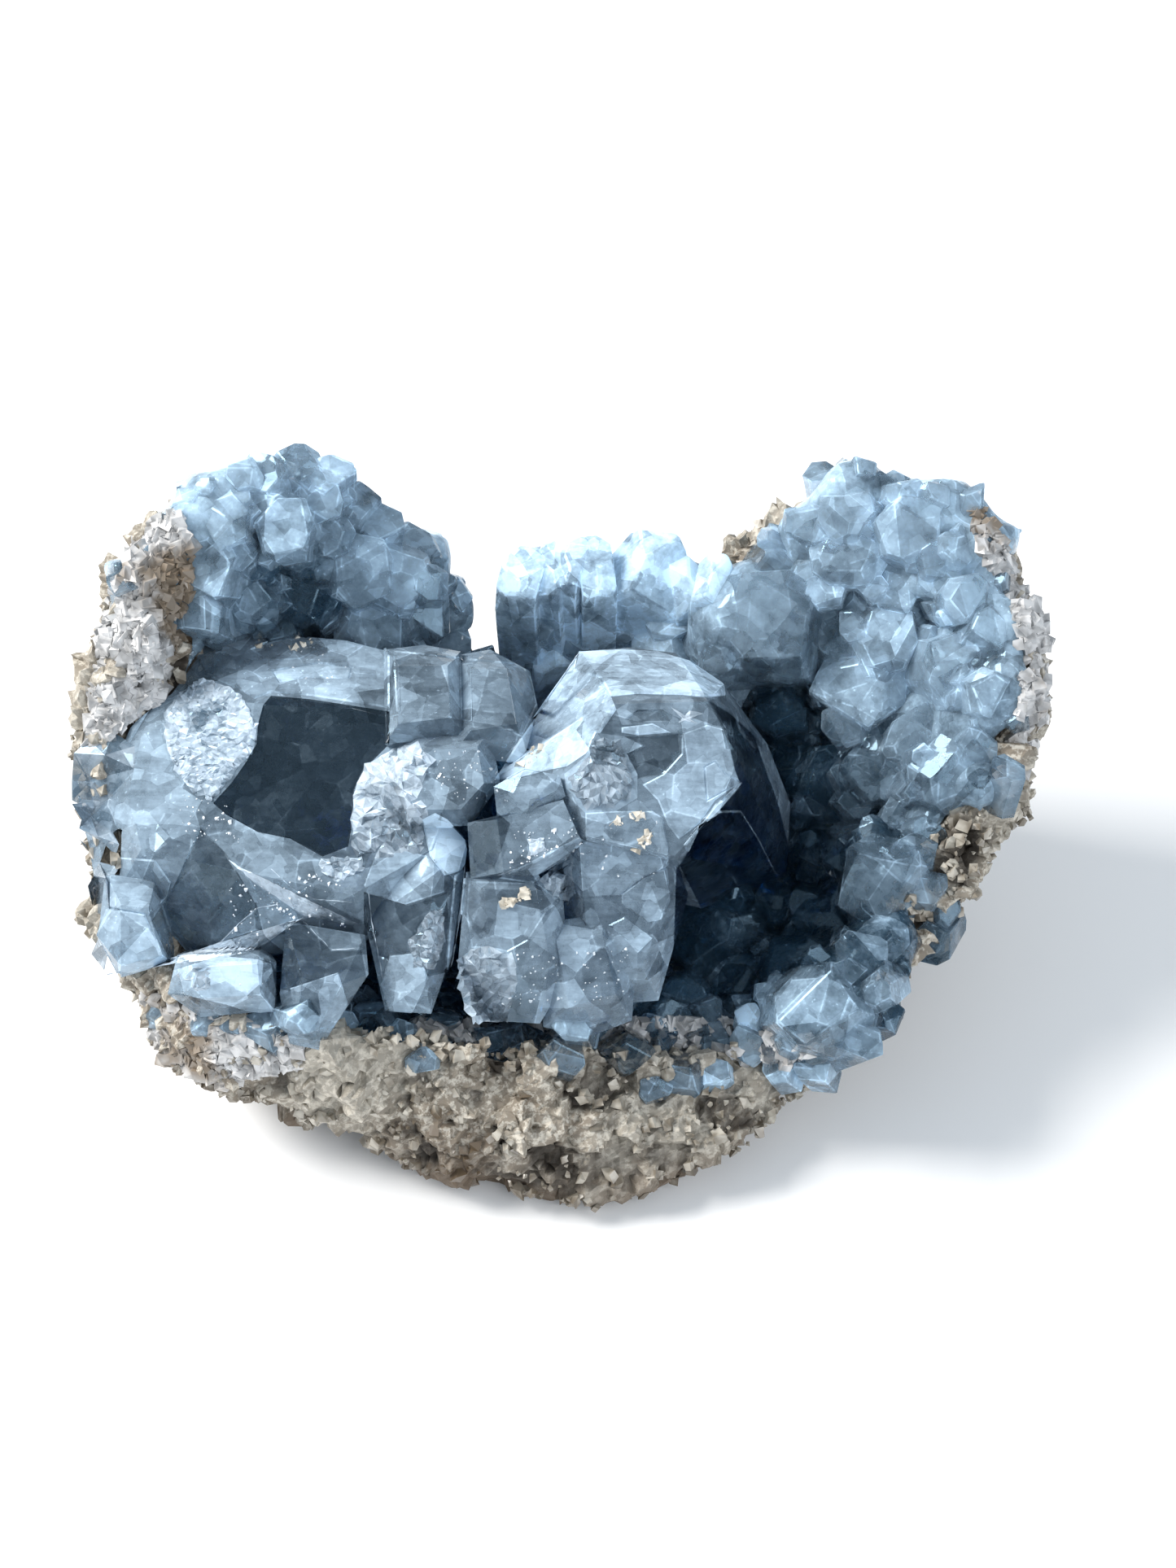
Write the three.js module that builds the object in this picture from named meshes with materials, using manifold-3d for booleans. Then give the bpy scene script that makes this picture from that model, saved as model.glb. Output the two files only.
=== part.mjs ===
// Celestite crystal cluster: a horseshoe-shaped piece of a geode. A rock shell (the matrix) carries several
// large crystals that have grown together, and a crust of small and middle-sized crystals lines its hollow.
// Millimetres, +Z up, the front of the hollow towards -Y, the flat place it rests on at z = 0.

import * as THREE from 'three';
import { ConvexGeometry } from 'three/addons/geometries/ConvexGeometry.js';
import { LoftGeometry } from 'three/addons/geometries/LoftGeometry.js';
import { ImprovedNoise } from 'three/addons/math/ImprovedNoise.js';
import { mergeVertices } from 'three/addons/utils/BufferGeometryUtils.js';
import Module from 'manifold-3d';

const wasm = await Module();
wasm.setup();

// Driving dimensions of the whole cluster: its half width and half depth, the middle of the bowl, the gap
// between rock and crystals, the thickness of the crust's skin over the rock, and the height of the lumps
const HALF_WIDTH = 75;
const HALF_DEPTH = 48;
const MIDDLE_Y = -5;
const GAP = 0.45;
const CRUST_SKIN = 2.4;
const SKIN_ROOT = 1.5;
const ROUGHNESS = 1.9;

// The cluster is laid out as it is looked at: from the front and 45 degrees above, from an arm's reach away.
// EYE_ACROSS and EYE_UP are where the line of sight meets the slanted layout plane.
const EYE_RISE = Math.PI / 4;
const EYE_REACH = 450;
const EYE_ACROSS = 2.8;
const EYE_UP = 4.9;
const MIDDLE_HEIGHT = 32.6;

const ACROSS = new THREE.Vector3(1, 0, 0);
const UPWARD = new THREE.Vector3(0, Math.sin(EYE_RISE), Math.cos(EYE_RISE));
const TOWARDS = new THREE.Vector3(0, -Math.cos(EYE_RISE), Math.sin(EYE_RISE));

// A place on the slanted layout plane, with out as its distance in front of that plane
function layout(across, up, out = 0) {
  return new THREE.Vector3(0, 0, MIDDLE_HEIGHT)
    .addScaledVector(ACROSS, across)
    .addScaledVector(UPWARD, up)
    .addScaledVector(TOWARDS, out);
}

const EYE = layout(EYE_ACROSS, EYE_UP, EYE_REACH);

// The line of sight through a place on the layout plane
function sight(across, up) {
  const direction = layout(across, up).sub(EYE).normalize();
  return new THREE.Ray(EYE, direction);
}

// The point on that line of sight at a given height above the base
function seen(across, up, height) {
  const ray = sight(across, up);
  return ray.at((height - EYE.z) / ray.direction.z, new THREE.Vector3());
}

// Repeatable scatter: a small generator of numbers from 0 to 1
function scatter(seed) {
  let state = seed;
  return () => {
    state = (state * 1664525 + 1013904223) % 4294967296;
    return state / 4294967296;
  };
}

// A solid from a closed geometry, without the empty triangles at a loft's pole
function toManifold(geometry) {
  const bare = new THREE.BufferGeometry();
  bare.setAttribute('position', geometry.attributes.position);
  bare.setIndex(geometry.index);
  const merged = mergeVertices(bare, 1e-4);
  const index = merged.index.array;
  const triVerts = [];
  for (let i = 0; i < index.length; i += 3) {
    const [a, b, c] = index.slice(i, i + 3);
    if (a !== b && b !== c && c !== a) triVerts.push(a, b, c);
  }
  return new wasm.Manifold(new wasm.Mesh({
    numProp: 3,
    vertProperties: new Float32Array(merged.attributes.position.array),
    triVerts: new Uint32Array(triVerts),
  }));
}

function toGeometry(manifold) {
  const { vertProperties, triVerts } = manifold.getMesh();
  const geometry = new THREE.BufferGeometry();
  geometry.setAttribute('position', new THREE.BufferAttribute(new Float32Array(vertProperties), 3));
  geometry.setIndex(new THREE.BufferAttribute(new Uint32Array(triVerts), 1));
  geometry.computeVertexNormals();
  return geometry;
}

function joined(solids) {
  return solids.reduce((whole, solid) => whole.add(solid));
}

// The largest single body of a solid, without the crumbs that a cut leaves beside it
function mainBody(solid) {
  return solid.decompose().reduce((main, body) => (body.volume() > main.volume() ? body : main));
}

// The rock. Each row is one upright section, at a turn counted from the right (0) over the back (90): how
// far out the foot, the belly and the rim lie as a share of the cluster's half size, and the height of the
// belly and the rim.
const ROCK_SECTIONS = [
  { turn: 0, foot: 0.6, belly: 0.8, bellyHeight: 22, rim: 0.87, rimHeight: 43 },
  { turn: 20, foot: 0.66, belly: 0.93, bellyHeight: 29, rim: 1.01, rimHeight: 54 },
  { turn: 45, foot: 0.7, belly: 1.1, bellyHeight: 31, rim: 1.17, rimHeight: 66 },
  { turn: 65, foot: 0.74, belly: 1.03, bellyHeight: 26, rim: 1.04, rimHeight: 59 },
  { turn: 78, foot: 0.74, belly: 1, bellyHeight: 18, rim: 1, rimHeight: 35 },
  { turn: 90, foot: 0.74, belly: 1, bellyHeight: 14, rim: 1, rimHeight: 28 },
  { turn: 102, foot: 0.72, belly: 0.99, bellyHeight: 15, rim: 0.98, rimHeight: 29 },
  { turn: 114, foot: 0.74, belly: 1.03, bellyHeight: 24, rim: 1.02, rimHeight: 60 },
  { turn: 130, foot: 0.76, belly: 1.09, bellyHeight: 28, rim: 1.08, rimHeight: 73 },
  { turn: 147, foot: 0.74, belly: 1.04, bellyHeight: 28, rim: 1.05, rimHeight: 68 },
  { turn: 165, foot: 0.7, belly: 0.94, bellyHeight: 26, rim: 0.97, rimHeight: 61 },
  { turn: 182, foot: 0.66, belly: 0.94, bellyHeight: 24, rim: 0.96, rimHeight: 47 },
  { turn: 201, foot: 0.64, belly: 0.94, bellyHeight: 22, rim: 0.95, rimHeight: 37 },
  { turn: 220, foot: 0.68, belly: 1.02, bellyHeight: 18, rim: 1.01, rimHeight: 31 },
  { turn: 239, foot: 0.7, belly: 0.93, bellyHeight: 15, rim: 0.91, rimHeight: 29 },
  { turn: 254, foot: 0.8, belly: 0.91, bellyHeight: 7, rim: 0.82, rimHeight: 27 },
  { turn: 270, foot: 0.88, belly: 0.96, bellyHeight: 6, rim: 0.76, rimHeight: 23 },
  { turn: 287, foot: 0.82, belly: 0.9, bellyHeight: 7, rim: 0.74, rimHeight: 20 },
  { turn: 303, foot: 0.68, belly: 0.82, bellyHeight: 12, rim: 0.75, rimHeight: 20 },
  { turn: 328, foot: 0.52, belly: 0.74, bellyHeight: 20, rim: 0.76, rimHeight: 31 },
];
// Widths of the rim and the floor as shares of the half size, then heights, then the rings and columns
const RIM_REACH = 0.1;
const CREST_REACH = 0.04;
const INNER_REACH = 0.06;
const FLOOR_REACH = 0.4;
const RIM_DROP = 4;
const SLOPE_FOOT = 0.3;
const FLOOR_HEIGHT = 13;
const LOWEST_SIDE = 1;
const ROCK_COLUMNS = 48;
const ROCK_STEPS = [3, 4, 3, 1, 2, 1];

// The corners of one upright section, from the foot over the rim and down to the floor of the hollow
function sectionCorners(row) {
  const turn = THREE.MathUtils.degToRad(row.turn);
  const corner = (reach, height) => new THREE.Vector3(
    HALF_WIDTH * reach * Math.cos(turn),
    MIDDLE_Y + HALF_DEPTH * reach * Math.sin(turn),
    height,
  );
  const inner = row.rim - RIM_REACH;
  return [
    corner(row.foot, 0),
    corner(row.belly, row.bellyHeight),
    corner(row.rim, row.rimHeight - RIM_DROP),
    corner(inner + CREST_REACH, row.rimHeight),
    corner(inner - INNER_REACH, row.rimHeight - 2 * RIM_DROP),
    corner((inner + FLOOR_REACH) / 2, FLOOR_HEIGHT + (row.rimHeight - FLOOR_HEIGHT) * SLOPE_FOOT),
    corner(FLOOR_REACH, FLOOR_HEIGHT),
  ];
}

// Closed rings through the section corners, with steps between them, from the foot to the floor
function rockRings() {
  const corners = ROCK_SECTIONS.map(sectionCorners);
  const rings = corners[0].map((_, level) => {
    const ring = new THREE.CatmullRomCurve3(corners.map((section) => section[level]), true, 'centripetal');
    return Array.from({ length: ROCK_COLUMNS }, (_, column) => ring.getPoint(column / ROCK_COLUMNS));
  });
  const columns = rings[0].map((_, column) => (
    new THREE.CatmullRomCurve3(rings.map((ring) => ring[column]), false, 'centripetal')
  ));
  const spans = rings.length - 1;
  const pole = new THREE.Vector3(0, MIDDLE_Y, FLOOR_HEIGHT);
  const stops = ROCK_STEPS.flatMap((steps, span) => (
    Array.from({ length: steps }, (_, step) => (span + step / steps) / spans)
  ));
  const walls = [...stops, 1].map((stop) => columns.map((column) => column.getPoint(stop)));
  return [...walls, walls[0].map(() => pole.clone())];
}

const noise = new ImprovedNoise();

// Lumpiness of the broken rock: coarse swells with finer ones on them
const SWELL_SIZE = 14;
const LUMP_GRAIN = 5;
const GRAIN_SHIFT = 9;
const SWELL_SHARE = 1.6;

function lumps(point) {
  const coarse = noise.noise(point.x / SWELL_SIZE, point.y / SWELL_SIZE, point.z / SWELL_SIZE);
  const fine = noise.noise(point.x / LUMP_GRAIN + GRAIN_SHIFT, point.y / LUMP_GRAIN, point.z / LUMP_GRAIN);
  return ROUGHNESS * (SWELL_SHARE * coarse + fine);
}

// The rock's rings, moved out along the surface's normals by the lumps and by a growth, on a level foot
function rockSurface(rings, growth) {
  const last = rings.length - 1;
  return rings.map((ring, level) => ring.map((point, column) => {
    if (level === last) return point.clone().setZ(point.z + growth);
    const next = ring[(column + 1) % ROCK_COLUMNS];
    const before = ring[(column + ROCK_COLUMNS - 1) % ROCK_COLUMNS];
    const below = rings[Math.max(level - 1, 0)][column];
    const onwards = rings[level + 1][column].clone().sub(below);
    const outward = next.clone().sub(before).cross(onwards);
    const onFoot = level === 0;
    if (onFoot) outward.setZ(0);
    outward.normalize();
    const moved = point.clone().addScaledVector(outward, (onFoot ? 0 : lumps(point)) + growth);
    moved.z = onFoot ? -growth : Math.max(moved.z, LOWEST_SIDE);
    return moved;
  }));
}

function rockSolid(growth) {
  return new LoftGeometry(rockSurface(RINGS, growth), { capStart: true });
}

const RINGS = rockRings();
const rockShell = rockSolid(0);
const rockMesh = new THREE.Mesh(rockShell, new THREE.MeshBasicMaterial({ side: THREE.DoubleSide }));

// Where the line of sight first meets the rock, with the rock's normal there
function rockAt(across, up) {
  const ray = sight(across, up);
  const hits = new THREE.Raycaster(ray.origin, ray.direction).intersectObject(rockMesh);
  return hits.length ? { point: hits[0].point, normal: hits[0].face.normal } : null;
}

// A convex solid from its faces, each a normal and a distance from the middle
function faceCorners(faces) {
  const corners = [];
  const cross = new THREE.Vector3();
  for (let i = 0; i < faces.length; i += 1) {
    for (let j = i + 1; j < faces.length; j += 1) {
      for (let k = j + 1; k < faces.length; k += 1) {
        const [a, b, c] = [faces[i], faces[j], faces[k]];
        const volume = a.normal.dot(cross.crossVectors(b.normal, c.normal));
        if (Math.abs(volume) < 1e-4) continue;
        const corner = new THREE.Vector3()
          .addScaledVector(new THREE.Vector3().crossVectors(b.normal, c.normal), a.reach)
          .addScaledVector(new THREE.Vector3().crossVectors(c.normal, a.normal), b.reach)
          .addScaledVector(new THREE.Vector3().crossVectors(a.normal, b.normal), c.reach)
          .divideScalar(volume);
        const inside = faces.every((face) => face.normal.dot(corner) <= face.reach + 1e-5);
        const known = corners.some((other) => other.distanceTo(corner) < 0.05);
        if (inside && !known) corners.push(corner);
      }
    }
  }
  return corners;
}

// Celestite's habit: a flattened prism of four side faces and a flat, under a roof of two broad faces with
// the ends of its ridge cut off. The middle of the crystal is at 0, its roof towards +Z. Each face's reach
// is a share of the crystal's half width or half length, and varies a little from face to face.
const SIDE_ANGLE = THREE.MathUtils.degToRad(38);
const ROOF_ANGLE = THREE.MathUtils.degToRad(39);
const END_ANGLE = THREE.MathUtils.degToRad(52);
const LARGER_WIDTH = 9.5;
const ROOT_SHARE = 1.15;
const BROAD_SHARE = 0.86;
const END_LENGTH_SHARE = 0.74;
const END_WIDTH_SHARE = 0.2;
const FACE_SPREAD = 0.28;

function habit(width, length, random) {
  const face = (x, y, z, reach) => ({
    normal: new THREE.Vector3(x, y, z).normalize(),
    reach: reach * (1 + FACE_SPREAD * (random() - 0.5)),
  });
  const half = width / 2;
  const tip = length / 2;
  const large = width > LARGER_WIDTH;
  const ridgeEnd = tip * END_LENGTH_SHARE + half * END_WIDTH_SHARE;
  const faces = [face(0, 0, -1, tip * ROOT_SHARE)];
  if (large) faces.push(face(0, 1, 0, half * BROAD_SHARE));
  for (const x of [-1, 1]) {
    for (const y of [-1, 1]) {
      faces.push(face(x * Math.cos(SIDE_ANGLE), y * Math.sin(SIDE_ANGLE), 0, half));
    }
    faces.push(face(x * Math.sin(ROOF_ANGLE), 0, Math.cos(ROOF_ANGLE), tip * BROAD_SHARE));
    if (x < 0 || large) {
      faces.push(face(0, x * Math.sin(END_ANGLE), Math.cos(END_ANGLE), ridgeEnd));
    }
  }
  return faceCorners(faces);
}

// One crystal of that habit, its middle at a point, its roof along an axis, turned about it
function crystal(middle, axis, width, length, random) {
  const up = new THREE.Vector3(0, 0, 1);
  const stand = new THREE.Quaternion().setFromUnitVectors(up, axis.clone().normalize());
  const spin = new THREE.Quaternion().setFromAxisAngle(up, random() * Math.PI);
  const corners = habit(width, length, random)
    .map((corner) => corner.applyQuaternion(spin).applyQuaternion(stand).add(middle));
  return toManifold(new ConvexGeometry(corners));
}

// The crystals of the crust: place across and up on the layout, width, and length. Each stands on the rock
// behind its place, at right angles to it, and leans a little towards the open side of the hollow.
const CRUST_CRYSTALS = [
  // left lobe, along its ridge and down its inner side
  { across: -41.5, up: 54, width: 12, length: 14 },
  { across: -35.5, up: 52, width: 11, length: 13 },
  { across: -47.5, up: 50, width: 10, length: 12 },
  { across: -38.5, up: 48.5, width: 10, length: 14 },
  { across: -30.5, up: 47, width: 12, length: 14 },
  { across: -53, up: 46.5, width: 10, length: 12 },
  { across: -43.5, up: 43, width: 11, length: 14 },
  { across: -36.5, up: 41.5, width: 9, length: 12 },
  { across: -59, up: 42, width: 9, length: 10 },
  { across: -51, up: 38, width: 9, length: 11 },
  { across: -31, up: 37.5, width: 13, length: 15 },
  { across: -24.5, up: 38, width: 11, length: 15 },
  { across: -63.5, up: 35, width: 9, length: 9 },
  { across: -56, up: 33.5, width: 9, length: 10 },
  { across: -48.5, up: 32, width: 10, length: 12 },
  { across: -41, up: 33, width: 9, length: 12 },
  { across: -27, up: 30, width: 13, length: 15 },
  { across: -20.5, up: 31, width: 10, length: 14 },
  { across: -64.5, up: 27, width: 9, length: 9 },
  { across: -16, up: 26, width: 9, length: 12 },
  // low back rim, in front of the prisms
  { across: -5, up: 24, width: 8, length: 10 },
  { across: 1.5, up: 25, width: 9, length: 10 },
  { across: 9, up: 27, width: 10, length: 12 },
  { across: 17, up: 27, width: 9, length: 11 },
  { across: 26.5, up: 29, width: 19, length: 20 },
  // right lobe, from its top down to the front
  { across: 34.5, up: 48.5, width: 9, length: 11 },
  { across: 41.5, up: 47.5, width: 12, length: 12 },
  { across: 49.5, up: 51, width: 9, length: 12 },
  { across: 55, up: 49.5, width: 8, length: 9 },
  { across: 35.5, up: 42, width: 10, length: 12 },
  { across: 42.5, up: 40, width: 14, length: 14 },
  { across: 53, up: 44, width: 12, length: 13 },
  { across: 60, up: 46, width: 8, length: 8 },
  { across: 35.5, up: 35, width: 10, length: 12 },
  { across: 55.5, up: 37.5, width: 9, length: 10 },
  { across: 61.5, up: 40, width: 9, length: 9 },
  { across: 49, up: 34, width: 9, length: 10 },
  { across: 38.5, up: 28.5, width: 10, length: 11 },
  { across: 47.5, up: 27.5, width: 12, length: 14 },
  { across: 61.5, up: 32.5, width: 9, length: 9 },
  { across: 66.5, up: 28, width: 8, length: 8 },
  { across: 31.5, up: 17.5, width: 12, length: 13 },
  { across: 43.5, up: 20, width: 14, length: 16 },
  { across: 58.5, up: 22, width: 13, length: 13 },
  { across: 66, up: 19.5, width: 9, length: 8 },
  { across: 37.5, up: 12, width: 10, length: 11 },
  { across: 52.5, up: 13, width: 10, length: 11 },
  { across: 60, up: 12.5, width: 10, length: 10 },
  { across: 46.5, up: 7.5, width: 13, length: 14 },
  { across: 37.5, up: 4.5, width: 13, length: 14 },
  { across: 55.5, up: 4.5, width: 10, length: 11 },
  { across: 61.5, up: 4.5, width: 8, length: 8 },
  { across: 47.5, up: -9.5, width: 15, length: 17 },
  { across: 37.5, up: -6.5, width: 10, length: 11 },
  { across: 54, up: -3, width: 8, length: 8 },
  { across: 38.5, up: -17, width: 13, length: 12 },
  { across: 48.5, up: -19, width: 9, length: 8 },
  // front right, above the rock's edge
  { across: 40, up: -29, width: 16, length: 16 },
  { across: 34, up: -26, width: 9, length: 10 },
  { across: 28, up: -31, width: 8, length: 8 },
  { across: 33, up: -35, width: 7, length: 7 },
  { across: 45.5, up: -25, width: 9, length: 9 },
  // floor and sides of the dark hollow
  { across: 25, up: 2, width: 14, length: 14 },
  { across: 29.5, up: -8, width: 11, length: 12 },
  { across: 22, up: -18, width: 17, length: 14 },
  { across: 29, up: -23, width: 9, length: 9 },
  { across: 17, up: -28, width: 9, length: 9 },
];

// The upright prisms on the low back rim, side by side with their long edges parallel
const BACK_PRISMS = [
  { across: -7.2, up: 30.5, height: 41, width: 7, length: 22 },
  { across: -1.6, up: 31, height: 41, width: 8, length: 22 },
  { across: 3.8, up: 31, height: 41, width: 7.5, length: 22 },
  { across: 11.5, up: 31.5, height: 41, width: 11.5, length: 23 },
  { across: 18.5, up: 30.5, height: 41, width: 8, length: 20 },
  { across: 22.5, up: 31, height: 42, width: 6.5, length: 18 },
];

// How the crust's crystals stand: how far they lean in, and how far their middles lie off the rock as a
// share of their length. The back prisms stand nearly upright.
const CRUST_SEED = 11;
const LEAN_IN = 0.45;
const STAND_OFF = 0.25;
const PRISM_LEAN = -0.12;
const PRISM_SWAY = 0.04;

// The small crystals between the others: how many places are tried, where, and the room that each needs
const FILLER_COUNT = 110;
const FILLER_SEED = 5;
const FILLER_WIDTH = 6;
const FILLER_SPREAD = 3;
const FILLER_LENGTH = 1.2;
const FILLER_ROOM = 0.74;
const FILLER_LOWEST = -35;
const FILLER_SPAN = 88;
const FILLER_FACING = 0.3;
const FILLER_REACH = 1.02;

// The hand-placed crystals, then small ones scattered over the inside of the hollow where there is room
function crustPlaces() {
  const places = [];
  for (const { across, up, width, length } of CRUST_CRYSTALS) {
    const rock = rockAt(across, up);
    if (rock) places.push({ ...rock, width, length });
  }
  const random = scatter(FILLER_SEED);
  for (let i = 0; i < FILLER_COUNT; i += 1) {
    const rock = rockAt(HALF_WIDTH * (2 * random() - 1), FILLER_LOWEST + FILLER_SPAN * random());
    const width = FILLER_WIDTH + FILLER_SPREAD * random();
    if (!rock || rock.normal.dot(TOWARDS) < FILLER_FACING || rock.point.z < FLOOR_HEIGHT) continue;
    const reach = Math.hypot(rock.point.x / HALF_WIDTH, (rock.point.y - MIDDLE_Y) / HALF_DEPTH);
    const free = places.every((other) => (
      other.point.distanceTo(rock.point) > FILLER_ROOM * (width + other.width)
    ));
    if (free && reach < FILLER_REACH) places.push({ ...rock, width, length: width * FILLER_LENGTH });
  }
  return places;
}

function crustCrystals() {
  const random = scatter(CRUST_SEED);
  const solids = crustPlaces().map(({ point, normal, width, length }) => {
    const axis = normal.clone().addScaledVector(TOWARDS, LEAN_IN);
    const middle = point.clone().addScaledVector(TOWARDS, length * STAND_OFF);
    return crystal(middle, axis, width, length, random);
  });
  for (const { across, up, height, width, length } of BACK_PRISMS) {
    const axis = new THREE.Vector3(PRISM_SWAY * (random() - 0.5), PRISM_LEAN, 1);
    solids.push(crystal(seen(across, up, height), axis, width, length, random));
  }
  return solids;
}

// Large crystals. Each has one broad face on a plane, given by its height over the base at the cluster's
// middle and by its slope to the right and to the back. Its corners are given by their place across and up
// on the layout and by how far they lie below that plane: 0 on the broad face, more on the other faces and
// the root. The crystal is the convex solid through its corners.
const LARGE_CRYSTALS = {
  // broad crystal that fills the left of the hollow, its wide face looking up and to the front
  broadLeft: {
    height: 56,
    slope: [0.05, 0.42],
    corners: [
      [-67, 3, 0], [-65, 12, 0], [-56, 17.5, 0], [-33, 16.5, 0], [-23, 14, 0], [-18, 5, 0], [-21, -5, 0],
      [-33, -12, 0], [-50, -7, 0], [-65, -5, 0],
      [-74.5, 1, 7], [-71, 17, 7], [-58.5, 28.5, 7], [-34, 26.5, 7], [-22, 23.5, 7], [-14.5, 8, 6],
      [-17, -8, 6], [-31, -19, 8], [-54, -22.5, 12], [-70, -14.5, 11],
      [-66, 0, 30], [-54, -14, 28], [-28, -16, 26], [-16, 0, 30], [-26, 18, 32], [-52, 20, 32],
      [-66, 12, 30],
    ],
  },
  // blocks that close its right end in gables
  gableInner: {
    height: 60,
    slope: [0, 0.15],
    corners: [
      [-26, 23, 0], [-18.5, 23, 0], [-18, 15, 0], [-26, 14, 0],
      [-28, 25.3, 4], [-22, 26, 3], [-16.5, 25, 4], [-15.5, 12, 4], [-28, 11, 4],
      [-26, 18, 26], [-17, 18, 26], [-17, 8, 26], [-26, 8, 26],
    ],
  },
  gableOuter: {
    height: 57.5,
    slope: [-0.08, 0.1],
    corners: [
      [-15, 22.5, 0], [-9.5, 22.5, 0], [-8, 14, 0], [-15, 13, 0],
      [-18, 24.3, 4], [-12, 25.3, 3], [-6, 22, 4], [-4.5, 15, 5], [-6, 8, 5], [-18, 9, 4],
      [-16, 15, 25], [-6, 14, 25], [-7, 5, 25], [-16, 5, 25],
    ],
  },
  // smoky clear block between the broad crystal and the middle, with a broken left edge
  smokyBlock: {
    height: 63,
    slope: [0.05, 0.5],
    corners: [
      [-22, 10, 0], [-14, 10.5, 0], [-13, 5, 0], [-16.5, 1, 0], [-23, 1, 0], [-27, 5, 0],
      [-24, 13, 5], [-12, 13, 5], [-10.5, 5, 5], [-15, -1.5, 4], [-25, -1.5, 4], [-31, 5, 5],
      [-24, 10, 24], [-12, 10, 24], [-14, 0, 24], [-26, 0, 24],
    ],
  },
  // upright prism in front of the broad crystal
  frontPrism: {
    height: 60,
    slope: [0, 0.65],
    corners: [
      [-20.5, -7, 0], [-22, -25, 0],
      [-26.5, -2, 2], [-20, 0.5, 2], [-15.7, -4, 3], [-18, -21, 5], [-21, -30, 4], [-28, -29.5, 4],
      [-31.5, -14, 5], [-30.5, -9, 4],
      [-29, -5, 24], [-17, -5, 24], [-18, -22, 22], [-27, -24, 22],
    ],
  },
  // tall crystal of the middle: its window, the bright face left of it, its cap and its steep right side
  tallMiddle: {
    height: 71,
    slope: [-0.1, 0.75],
    corners: [
      [7, 17, 0], [21, 17.4, 0], [25.5, 9, 0], [22.5, 1, 0], [16, -6, 0], [3, -3, 0], [0, 5, 0],
      [1.7, 25, 20], [9, 25.6, 21], [16, 24.8, 21], [23.5, 19.8, 17],
      [-11.5, 5.3, 14], [-8, -3, 12],
      [30, 11, 30], [33.5, 2, 42], [33, -9, 46], [20, -14, 34],
      [-12, -6, 34], [-8, 8, 40], [3, 21, 46], [20, 18, 46],
    ],
  },
  // block under the window, down to the rock's edge
  lowerBlock: {
    height: 81,
    slope: [0, 1.35],
    corners: [
      [1.5, -2.5, 0], [13, -3, 0], [15, -12, 0], [11, -23, 0], [3, -24, 0],
      [-1.5, 0, 7], [14, 0.5, 7], [18, -12, 8], [13.5, -28, 8], [0, -29, 8],
      [0, -4, 32], [15, -6, 32], [12, -24, 26], [1, -25, 26],
    ],
  },
  // milky crystals that stand beside it on the front edge
  milkyLeft: {
    height: 78,
    slope: [0.1, 1.1],
    corners: [
      [-13, -11, 0], [-5, -11, 0], [-3, -22, 0], [-12, -24, 0],
      [-15.7, -8.5, 4], [-7, -7.5, 3], [-1, -12, 5], [0, -24, 6], [-4.5, -31.5, 6], [-12.5, -31, 6],
      [-17, -23, 5],
      [-14, -12, 26], [-3, -12, 26], [-4, -27, 22], [-13, -27, 22],
    ],
  },
  milkyRight: {
    height: 79,
    slope: [-0.1, 1.2],
    corners: [
      [-2, -19, 0], [5, -18, 0], [7, -27, 0], [0, -29, 0],
      [-4, -16, 4], [5, -15, 4], [10, -22, 6], [9.5, -31, 7], [3, -33.5, 7], [-4, -32, 6],
      [-3, -18, 26], [8, -18, 26], [7, -29, 22], [-3, -29, 22],
    ],
  },
  // dark block with a frosted face, and the small pale crystal over it
  frostedBlock: {
    height: 77,
    slope: [0.05, 1],
    corners: [
      [-11, -0.5, 0], [-7, 0.5, 0], [-1, 2.5, 0], [1.2, -2.5, 0], [-5, -7, 0], [-10, -8.5, 0],
      [-15.5, -1, 5], [-15, -9.5, 5], [2, -4, 4], [-5, -9, 4],
      [-14, -1, 24], [0, 1, 24], [0, -6, 24], [-13, -8, 24],
    ],
  },
  paleSmall: {
    height: 74.5,
    slope: [0, 0.85],
    corners: [
      [-8.5, 3.5, 0], [-3.5, 4.5, 0], [-6, 1.5, 0],
      [-11.5, 4.5, 2], [-6.8, 7.2, 2], [-1.5, 6.2, 2], [-0.6, 3, 2], [-7, -0.8, 2], [-11, 0, 2],
      [-9, 5, 16], [-2, 4, 16], [-7, 0, 16],
    ],
  },
  // crystals along the lower left edge, over the rock
  leftFacet: {
    height: 69,
    slope: [0.05, 1],
    corners: [
      [-68, -13.5, 0], [-64, -14, 0], [-62, -21, 0], [-68, -22.5, 0],
      [-70.5, -9, 5], [-63, -10, 5], [-60, -22, 4], [-68, -24.5, 4], [-71.5, -18, 3],
      [-68, -8, 24], [-60, -12, 24], [-62, -23, 22], [-68, -22, 22],
    ],
  },
  lilacBlock: {
    height: 75,
    slope: [0, 1],
    corners: [
      [-57, -23, 0], [-47.5, -22.5, 0], [-47, -27, 0], [-56, -27.5, 0],
      [-59.5, -21, 4], [-47, -20.5, 3], [-44.5, -22, 4], [-44.5, -29.5, 5], [-56, -30.5, 6], [-61, -27, 5],
      [-57, -20, 24], [-46, -20, 24], [-46, -28, 22], [-57, -28, 22],
    ],
  },
  wedge: {
    height: 76,
    slope: [0, 1],
    corners: [
      [-40.5, -24.5, 0], [-34.5, -25.5, 0], [-38.5, -32.5, 0], [-41.5, -32, 0],
      [-43, -16, 7], [-31, -18, 7], [-30.5, -24, 4], [-36, -31.5, 3], [-38, -35.5, 3],
      [-42.5, -34.5, 3], [-44, -27, 4],
      [-42, -20, 26], [-32, -22, 26], [-38, -31, 22],
    ],
  },
};

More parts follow.
